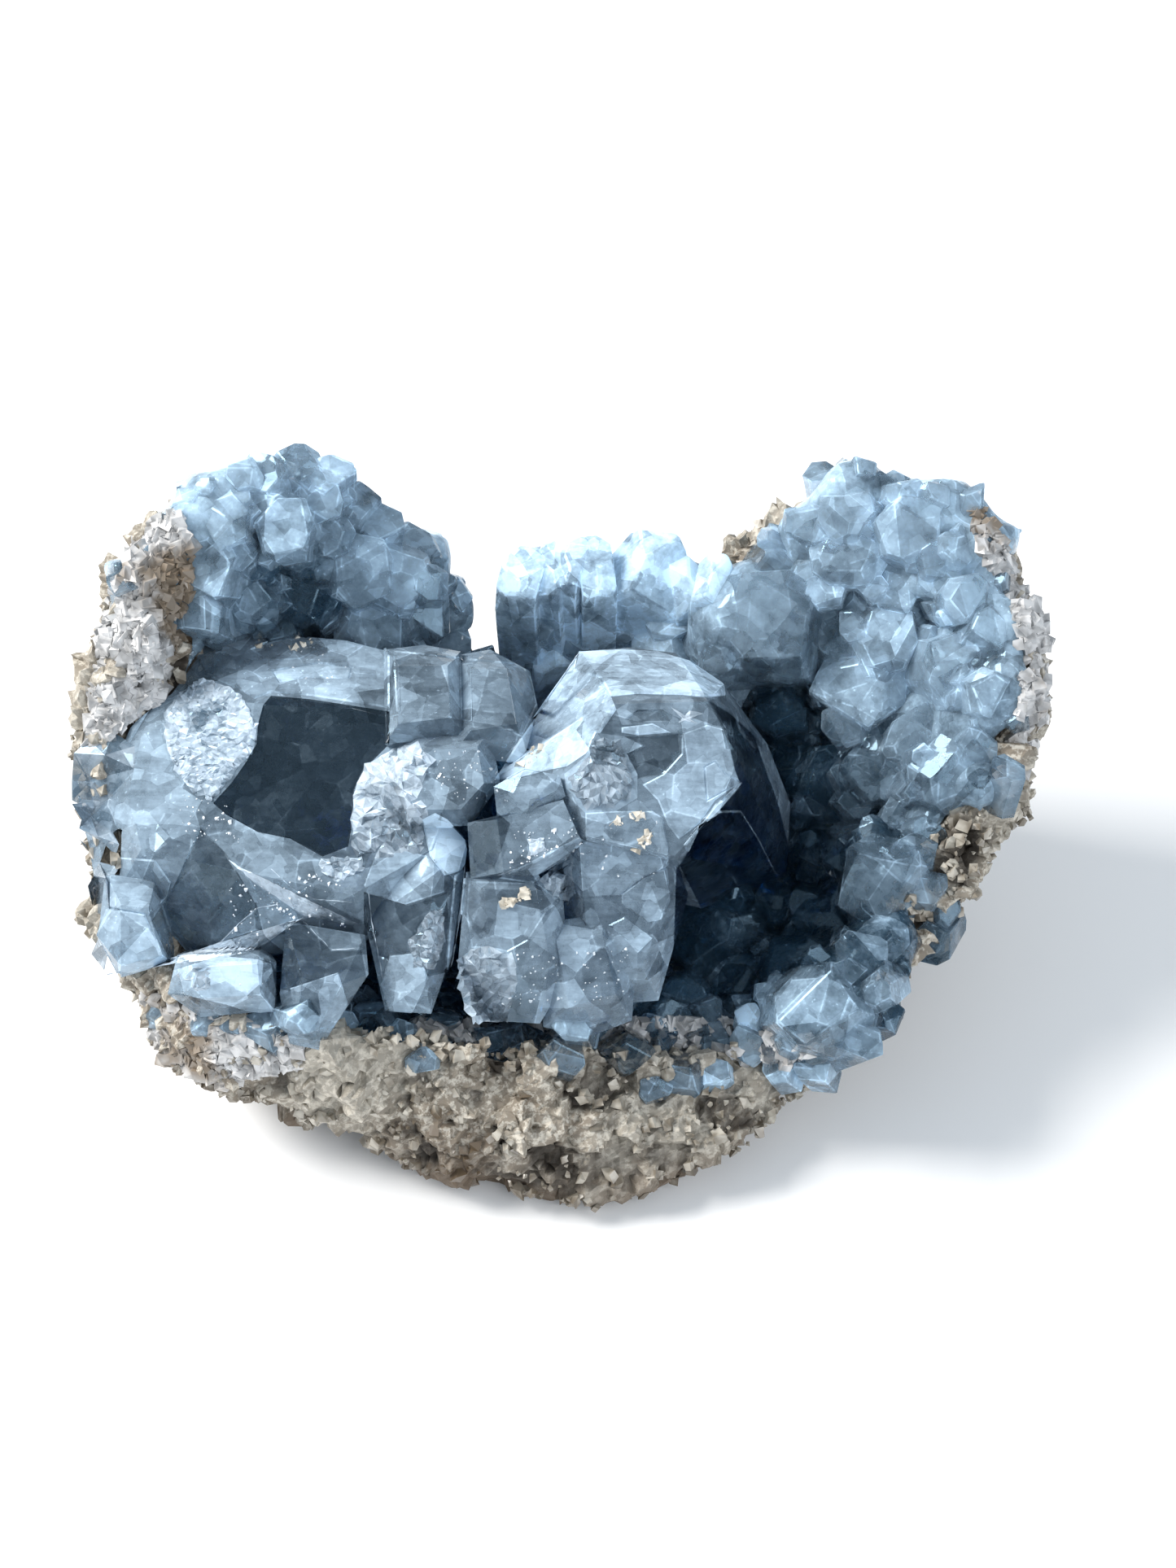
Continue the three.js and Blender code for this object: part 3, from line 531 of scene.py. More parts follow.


# The crust's larger crystals: stout prisms with a flat or gabled end, 4 to 16 mm across. Each row gives
# one by its place across and up, its breadth and height as seen, how far it leans to the right and up,
# and how much paler it is than its neighbours: partly its own tone, and darker in the hollow as painted
# shade. All have rubbed edges, painted lighter as wear and as painted highlight, and those broader than
# STEP_FROM steps on their faces.
EDGE = 0.16
FINE_EDGE = 0.12
STEP_FROM = 8
SHOULDER_SLOPES = (32, 58)
SHOULDER_SHARE = 0.75
LOBE_RISE = 5
WALL_CRYSTALS = (
    # right wall, from its top down
    (34.7, 49.3, 5, 4.6, -0.3, 0.4, 0.2), (42.2, 47, 9, 8, 0.1, 0.5, 0.1),
    (35.8, 44.6, 7, 6.4, -0.4, 0.3, 0.1), (42, 39.3, 13, 9, -0.1, 0.1, 0.15),
    (35.2, 35.6, 9, 7, -0.5, -0.1, 0), (52.6, 44.2, 12, 10.5, 0.2, 0.1, 0.1),
    (49.9, 51, 6.8, 5.6, 0.1, 0.5, 0), (55.6, 49, 5.5, 5, 0.3, 0.4, 0), (55.6, 38.4, 6, 7.2, 0.1, -0.2, 0),
    (59, 41, 5.5, 6.4, 0.4, 0.2, 0), (47.5, 27.8, 11, 11, -0.2, 0.2, 0.1),
    (43.8, 19.9, 16, 12.4, -0.2, 0.1, 0.25), (59, 21.4, 10.4, 12.6, 0.2, -0.1, 0.1),
    (46.9, 6.8, 12, 11.4, 0, 0.2, 0.05), (37.4, 4.1, 12, 13.8, -0.5, 0, 0.05),
    (47.4, -9.5, 14, 13, -0.1, 0.1, 0.35), (53.4, 12.7, 12, 8, 0.1, 0.3, 0), (64, 18.9, 8, 8, 0.3, 0, 0.1),
    (57.5, 5.6, 11, 11, 0.1, 0.1, 0), (37.3, -7, 7.4, 9, -0.4, 0, -0.1),
    (38.5, -17.2, 12, 11.4, -0.3, 0, -0.1), (31.5, 16.4, 11, 8, -0.3, 0.2, -0.25),
    (64, 28, 7, 8, 0.3, 0.1, 0.1), (60.5, 33, 8, 8, 0.2, 0, 0.05), (49, 34, 7, 6, -0.1, 0.1, 0.1),
    (40, 27, 9, 9, -0.4, 0, 0), (62, 10, 7, 8, 0.3, 0, 0.05), (54, -4, 8, 8, 0.2, 0, 0),
    (51.5, 20.5, 6, 6, 0, 0.1, 0), (33, 9.5, 7, 6, -0.4, 0.2, 0), (45.5, 46.5, 5, 5, 0, 0.4, 0.2),
    # low pale crystals before the back prisms
    (-5, 30.5, 8, 8, -0.1, 0.4, 0.3), (1, 27.5, 9, 7, 0, 0.3, 0.3), (8, 29.5, 8, 7, 0.1, 0.3, 0.3),
    (15, 30, 8, 7, 0, 0.3, 0.25), (-8.5, 26.5, 5, 5, -0.2, 0.3, 0.25),
    # cloudy mass between the prisms and the right wall
    (27.8, 28.8, 16, 19.5, -0.4, 0.1, -0.1), (22.5, 24, 8, 9, -0.3, 0.2, -0.1), (33, 24, 8, 8, -0.3, 0, 0),
    # left lobe
    (-41.5, 53.5, 10, 8, -0.1, 0.4, 0.1), (-36, 51.5, 8, 7, 0.2, 0.3, 0.1),
    (-38.5, 48.3, 8.6, 8, 0, 0.1, 0.05), (-46.5, 47.5, 9, 7.6, -0.2, 0.2, 0.1),
    (-43, 43, 8.6, 10.4, 0, 0, 0.1), (-30.5, 46, 11.6, 9.4, 0.3, 0.3, 0.05),
    (-52.5, 45.5, 8, 8, -0.2, 0.2, 0.1), (-26.5, 38, 12, 12.6, 0.2, 0.2, 0),
    (-21.5, 32.5, 9, 12, 0.3, 0.1, 0), (-32, 38, 11, 12, 0, 0.1, -0.05),
    (-29, 30.5, 12, 12.4, 0.1, 0, -0.1), (-17.5, 27, 7, 8, 0.4, 0.1, 0.05),
    (-48, 33, 9.6, 7.4, -0.1, 0.1, -0.05), (-41, 34, 9, 9.4, 0, 0.2, -0.05),
    (-54.5, 38, 8, 9, -0.2, 0.1, 0.05), (-36, 42.5, 7, 7, 0.1, 0.1, -0.1), (-51, 40, 7, 6, -0.1, 0.2, -0.2),
    (-47, 38, 6, 5, 0, 0, -0.3), (-37, 29.5, 9, 6, 0, 0.2, -0.1), (-56, 31, 7, 8, -0.1, 0.1, 0.15),
    (-49.5, 52, 6, 5, -0.1, 0.4, 0.1),
    # the hollow's folded faces and its foot, darker as painted shade
    (29.5, -1, 15, 17, -0.6, 0.1, -0.3), (21, -17, 16, 14, -0.2, 0.4, -0.3),
    (29, -14, 11, 10, -0.4, 0.2, -0.3), (33, -22, 9, 10, -0.4, 0.2, -0.3), (17, -25.5, 10, 5, 0, 0.5, -0.2),
    (25, -25, 8, 7, -0.1, 0.4, -0.2),
    # front right, above the rock's edge
    (39.5, -28.5, 15, 14, 0.1, 0.2, 0.3), (32, -27.5, 7, 7, -0.1, 0.2, 0.35), (28, -31, 6, 6, 0, 0.3, 0.4),
    (34, -34, 6, 5, 0.1, 0, 0.4), (44.5, -21, 8, 8, 0.1, 0.1, 0.15), (21, -29, 7, 5, 0, 0.4, 0.15),
)
LOBE_TOP = (
    # the left lobe's crest, which stands highest: across, up, breadth and height
    (-41.5, 54.5, 8.5, 7.5), (-37, 52.5, 8.5, 7), (-32.5, 48.5, 8.5, 7.5), (-28, 45.5, 8, 6.5),
    (-46.5, 52.5, 8, 6.5), (-23.5, 42, 7.5, 7.5), (-52, 49, 8, 7),
)


def cut(shape, normal, reach):
    """Cuts a shape off flat at a reach from its middle and closes the cut with one face."""
    found = bmesh.ops.bisect_plane(shape, geom=shape.verts[:] + shape.edges[:] + shape.faces[:], dist=1e-9,
                                   plane_co=normal * reach, plane_no=normal, clear_outer=True)
    rim = [part for part in found["geom_cut"] if isinstance(part, bmesh.types.BMEdge)]
    if rim:
        bmesh.ops.contextual_create(shape, geom=rim)


def faced(whole):
    """Gives a shape the values that its faces carry: how milky, how pale, and whether a rubbed edge, which
    is painted lighter as wear and as painted highlight.
    """
    return [whole.faces.layers.float.new(name) for name in ("milk", "tone", "rim")]


def wear(shape, edges, breadth, edge_wear_and_glint):
    """Wears edges off to narrow faces, which carry that they are rubbed edges, painted lighter as wear and
    as painted highlight.
    """
    found = bmesh.ops.bevel(shape, geom=edges, offset=breadth, segments=1, profile=0.5, affect="EDGES",
                            material=-1, clamp_overlap=True)
    for face in found["faces"]:
        face[edge_wear_and_glint] = 1


def add_shape(whole, shape, place, axis, chance, milk, tone, edge, steps=0):
    """Adds one crystal's shape, its end at place: rubbed edges, some stepped faces, each face its own tone.
    """
    bmesh.ops.remove_doubles(shape, verts=shape.verts, dist=0.2)
    bmesh.ops.dissolve_limit(shape, angle_limit=0.02, verts=shape.verts, edges=shape.edges)
    milky, pale, edge_wear_and_glint = faced(shape)
    for face in shape.faces:
        face[milky] = milk + chance.uniform(-0.1, 0.1)
        face[pale] = tone + chance.uniform(-0.1, 0.1)
    wear(shape, shape.edges[:], edge, edge_wear_and_glint)
    broad = sorted((face for face in shape.faces if face.normal.z > -0.2), key=lambda face: -face.calc_area())
    for face in broad[:steps]:
        ring = bmesh.ops.inset_individual(shape, faces=[face], thickness=chance.uniform(0.5, 1.3),
                                          depth=chance.choice((-0.12, 0.14, 0.2)), use_even_offset=True)
        face[pale] += chance.uniform(-0.1, 0.14)
        for side in ring["faces"]:
            side[milky] = milk + 0.1
    seat = Matrix.Translation(place) @ axis.normalized().to_track_quat("Z", "Y").to_matrix().to_4x4()
    bmesh.ops.transform(shape, verts=shape.verts, matrix=seat @ Matrix.Scale(MM, 4))
    bmesh.ops.recalc_face_normals(shape, faces=shape.faces)
    join(whole, shape)


def add_crystal(whole, tip, axis, wide, tall, long, chance, milk=0.5, tone=0.5, edge=EDGE, sides=6):
    """Adds one stout crystal with its flat end at tip: sides all round and some sloping shoulders."""
    shape = bmesh.new()
    bmesh.ops.create_cube(shape, size=2)
    bmesh.ops.scale(shape, vec=(wide * 0.7, tall * 0.7, long), verts=shape.verts)
    start = chance.random() * math.tau
    for side in range(sides):
        turn = start + math.tau * (side + chance.uniform(-0.25, 0.25)) / sides
        flat = Vector((math.cos(turn), math.sin(turn), chance.uniform(-0.05, 0.12))).normalized()
        reach = 0.5 * math.hypot(wide * flat.x, tall * flat.y)
        cut(shape, flat, reach * chance.uniform(0.86, 1.04))
        if chance.random() < SHOULDER_SHARE:
            slope = math.radians(chance.uniform(*SHOULDER_SLOPES))
            shoulder = Vector((flat.x * math.sin(slope), flat.y * math.sin(slope), math.cos(slope)))
            share = chance.uniform(0.35, 0.85)
            cut(shape, shoulder, long * math.cos(slope) + reach * math.sin(slope) * share)
    lean = Vector((chance.uniform(-0.22, 0.22), chance.uniform(-0.22, 0.22), 1)).normalized()
    cut(shape, lean, long * lean.z * 0.97)
    bmesh.ops.translate(shape, vec=(0, 0, -long), verts=shape.verts)
    steps = chance.choice((1, 2, 3)) if min(wide, tall) > STEP_FROM else 0
    add_shape(whole, shape, tip, axis, chance, milk, tone, edge, steps)


def drawn_in(place, reach):
    """The place, moved inwards until a crystal of that reach stays inside the cluster's outline."""
    for _ in range(6):
        rays = [place + way * reach - eye for way in (ACROSS, -ACROSS, UPWARD, -UPWARD)]
        trees = (crust_tree, rock_tree, large_tree)
        if all(any(tree.ray_cast(eye, ray.normalized())[0] for tree in trees) for ray in rays):
            return place
        across, up = seen_at(place)
        place = place - (ACROSS * across + UPWARD * up).normalized() * 1.2 * MM
    return None


chance = random.Random(8)
wall = bmesh.new()
faced(wall)
placed = []
for across, up, wide, tall, right, rise, paler in WALL_CRYSTALS:
    hit = sighted(across, up, skin_tree)
    if hit is None:
        continue
    tip = drawn_in(hit[0] + TOWARDS * 1.6 * MM, 0.15 * max(wide, tall) * MM) or hit[0]
    axis = TOWARDS + ACROSS * right + UPWARD * rise
    long = 0.62 * max(wide, tall)
    # paleness from the wall and the row: partly own tone, partly painted light and shade
    pale = wall_tone_and_shading(across, up) + paler
    add_crystal(wall, tip, axis, wide, tall, long, chance, chance.uniform(0.25, 0.5), pale,
                sides=chance.choice((6, 7, 8)))
    placed.append((tip, max(wide, tall) * MM))
    for _ in range(chance.choice((1, 2, 2))):
        way = (ACROSS * chance.uniform(-1, 1) + UPWARD * chance.uniform(-1, 1)).normalized()
        aside = tip + way * 0.42 * max(wide, tall) * MM - axis.normalized() * chance.uniform(0.8, 3) * MM
        share = chance.uniform(0.35, 0.6)
        aside = drawn_in(aside, 0.3 * share * max(wide, tall) * MM)
        if aside is None:
            continue
        add_crystal(wall, aside, axis, wide * share, tall * share, long, chance, chance.uniform(0.2, 0.5),
                    pale, FINE_EDGE)
for across, up, wide, tall in LOBE_TOP:
    hit = sighted(across, up - LOBE_RISE, skin_tree)
    tip = hit[0] + (UPWARD * LOBE_RISE + TOWARDS * 0.5) * MM
    axis = TOWARDS + UPWARD * 0.7 + ACROSS * 0.02 * (across + 40)
    add_crystal(wall, tip, axis, wide, tall, wide, chance, milk=0.35, tone=0.58)
piece("wall_crystals", wall, crust_paint)


# Back prisms: the upright crystals on the low back rim, slabs side by side with flat tops and one broad
# gabled crystal, all grown into each other. Rows: across and up of the top, breadth, depth, length, gable
# or flat.
PRISM_OVERLAP = 1.14
PRISM_SUNK = 0.75
PRISM_EDGE = 0.25
PRISM_RISE = 2.5
PRISM_MILK = 0.78
# how much lighter the prisms are painted than the wall around them: painted light, for light that shines
# through them
PRISM_PAINTED_LIGHT = 0.2
BACK_PRISMS = (
    (-7.2, 37.6, 5.8, 8, 16, False), (-2.7, 38.6, 4.8, 8, 16, False), (0.6, 39, 3.2, 8.4, 16, False),
    (4, 38.8, 4.8, 9, 17, False), (11.6, 39.6, 10.4, 9, 18, True), (18, 36.6, 4.6, 7, 14, True),
    (21.6, 37, 4.6, 7, 14, True), (-2.5, 28.5, 8.5, 10, 12, False), (7, 27.5, 8, 9, 10, False),
    (15, 28.5, 10, 9, 10, True), (-6.4, 29.5, 5, 8, 9, False),
)
prisms = bmesh.new()
faced(prisms)
for across, up, wide, deep, long, gabled in BACK_PRISMS:
    hit = sighted(across, up - PRISM_RISE, crust_tree, skin_tree)
    if hit is None:
        continue
    shape = bmesh.new()
    bmesh.ops.create_cube(shape, size=2)
    wide *= PRISM_OVERLAP
    long *= PRISM_SUNK
    bmesh.ops.scale(shape, vec=(wide * 0.5, deep * 0.6, long), verts=shape.verts)
    bmesh.ops.translate(shape, vec=(0, 0, -long), verts=shape.verts)
    for side in (-1, 1):
        for front in (-1, 1):
            flat = Vector((side * chance.uniform(0.6, 0.9), front * 0.75, 0.3 if front < 0 else 0))
            flat.normalize()
            cut(shape, flat, 0.5 * (wide * abs(flat.x) + deep * abs(flat.y)) * chance.uniform(0.8, 0.93))
        tilt = 0.75 if gabled else chance.uniform(0.25, 0.45)
        slope = Vector((side * tilt, chance.uniform(-0.7, -0.1), 1))
        cut(shape, slope.normalized(), wide * (0.02 if gabled else 0.12))
    axis = Vector((chance.uniform(-0.05, 0.05), -0.12, 1))
    place = hit[0] + (UPWARD * PRISM_RISE + TOWARDS * 1.5) * MM
    add_shape(prisms, shape, place, axis, chance, PRISM_MILK, wall_tone_and_shading(across, up) + PRISM_PAINTED_LIGHT,
              PRISM_EDGE, steps=1)
    for share in (0, 0.35, 0.7, 1.05):
        placed.append((place - Vector((0, 0, share * long)) * MM, 1.7 * max(wide, deep) * MM))
piece("back_prisms", prisms, crust_paint)


# Crystals in the rock's front edge: grey, white and smoky ones, half sunk in the grains below the large
# crystals. They are painted a little darker than the crust.
ROCK_DARKER = 0.2
ROCK_CRYSTALS = (
    # across, up, breadth and height as seen, milky share and paleness
    (-62, -30, 6, 5, 0.6, 0.75), (-55, -31.5, 5, 4, 0.6, 0.65), (-46, -31.5, 7, 5, 0.5, 0.5),
    (-30, -31, 8, 7, 0.4, 0.45), (-26, -33, 5, 5, 0.6, 0.7), (-19, -32, 6, 5, 0.7, 0.8),
    (-13, -33.5, 6, 4, 0.6, 0.75), (-7, -34, 8, 6, 0.4, 0.4), (-1, -36.5, 7, 7, 0.3, 0.35),
    (4, -34, 7, 5, 0.6, 0.6), (9, -36.5, 8, 5, 0.15, 0.15), (14, -33, 6, 5, 0.5, 0.5),
    (17, -39.5, 8, 6, 0.35, 0.4), (21.5, -38.5, 5.4, 4.6, 0.85, 0.95), (21, -33, 7, 5, 0.5, 0.5),
    (27, -35, 6, 5, 0.6, 0.7), (31, -38, 5, 4, 0.5, 0.6), (36, -37, 6, 5, 0.6, 0.7),
    (13, -41, 5, 4, 0.5, 0.5), (-22, -37, 5, 4, 0.5, 0.55), (-40, -31, 6, 5, 0.6, 0.6),
    (-35, -31.5, 6, 5, 0.6, 0.65), (-51, -32, 5, 4, 0.6, 0.7), (0, -32, 6, 4, 0.5, 0.55),
    (27, -30, 5, 4.4, 0.7, 0.85), (46, -27, 6, 6, 0.5, 0.6), (57, -14, 5, 5, 0.4, 0.5),
)
sunk = bmesh.new()
faced(sunk)
for across, up, wide, tall, milk, tone in ROCK_CRYSTALS:
    hit = sighted(across, up, rock_tree, crust_tree, large_tree)
    axis = TOWARDS + ACROSS * chance.uniform(-0.4, 0.4) + UPWARD * chance.uniform(-0.2, 0.5)
    add_crystal(sunk, hit[0] + TOWARDS * 1.4 * MM, axis, wide, tall, 0.7 * wide, chance, milk,
                tone - ROCK_DARKER)
piece("rock_crystals", sunk, crust_paint)


# Small crystals: the same stout prisms, 4 to 9 mm across, which fill every gap between the larger ones.
# They lean towards the hollow's open side, and leave the sugary rims bare.
SMALL_SIZES = (3.6, 9)
SKIN_CLEARANCE = 0.4 * MM
NEAREST_SHARE = 0.42
OPEN_SIDE = Vector((0, -0.01, 0.05))
small = bmesh.new()
faced(small)
for place, normal in skin_spots:
    wide = sized(SMALL_SIZES, 2, chance)
    if any(within(seen_at(place), outline) for outline, _ in SUGAR_PLACES[:2]):
        continue
    nearest = rock_tree.find_nearest(place)
    rock_spot, gap = nearest[0], nearest[3]
    if gap < SKIN_CLEARANCE or (rock_spot - place).dot(normal) > 0.6 * gap:
        continue
    if any((place - other).length < NEAREST_SHARE * (wide * MM + size) for other, size in placed):
        continue
    scatter = Vector([chance.uniform(-0.3, 0.3) for _ in "xyz"])
    axis = normal + (OPEN_SIDE - place).normalized() * 0.3 + scatter
    tip = drawn_in(place + axis.normalized() * wide * 0.38 * MM, 0.2 * wide * MM)
    foot = tip and drawn_in(tip - axis.normalized() * wide * 0.6 * MM, 0.3 * wide * MM)
    if not foot:
        continue
    axis = tip - foot
    # their paleness follows the wall's, with its painted light and shade
    add_crystal(small, tip, axis, wide, wide * chance.uniform(0.7, 1), 0.65 * wide, chance,
                chance.uniform(0.2, 0.5), wall_tone_and_shading(*seen_at(place)) + chance.uniform(-0.1, 0.15), FINE_EDGE,
                chance.choice((4, 5, 6)))
    placed.append((place, wide * MM))
piece("small_crystals", small, crust_paint)


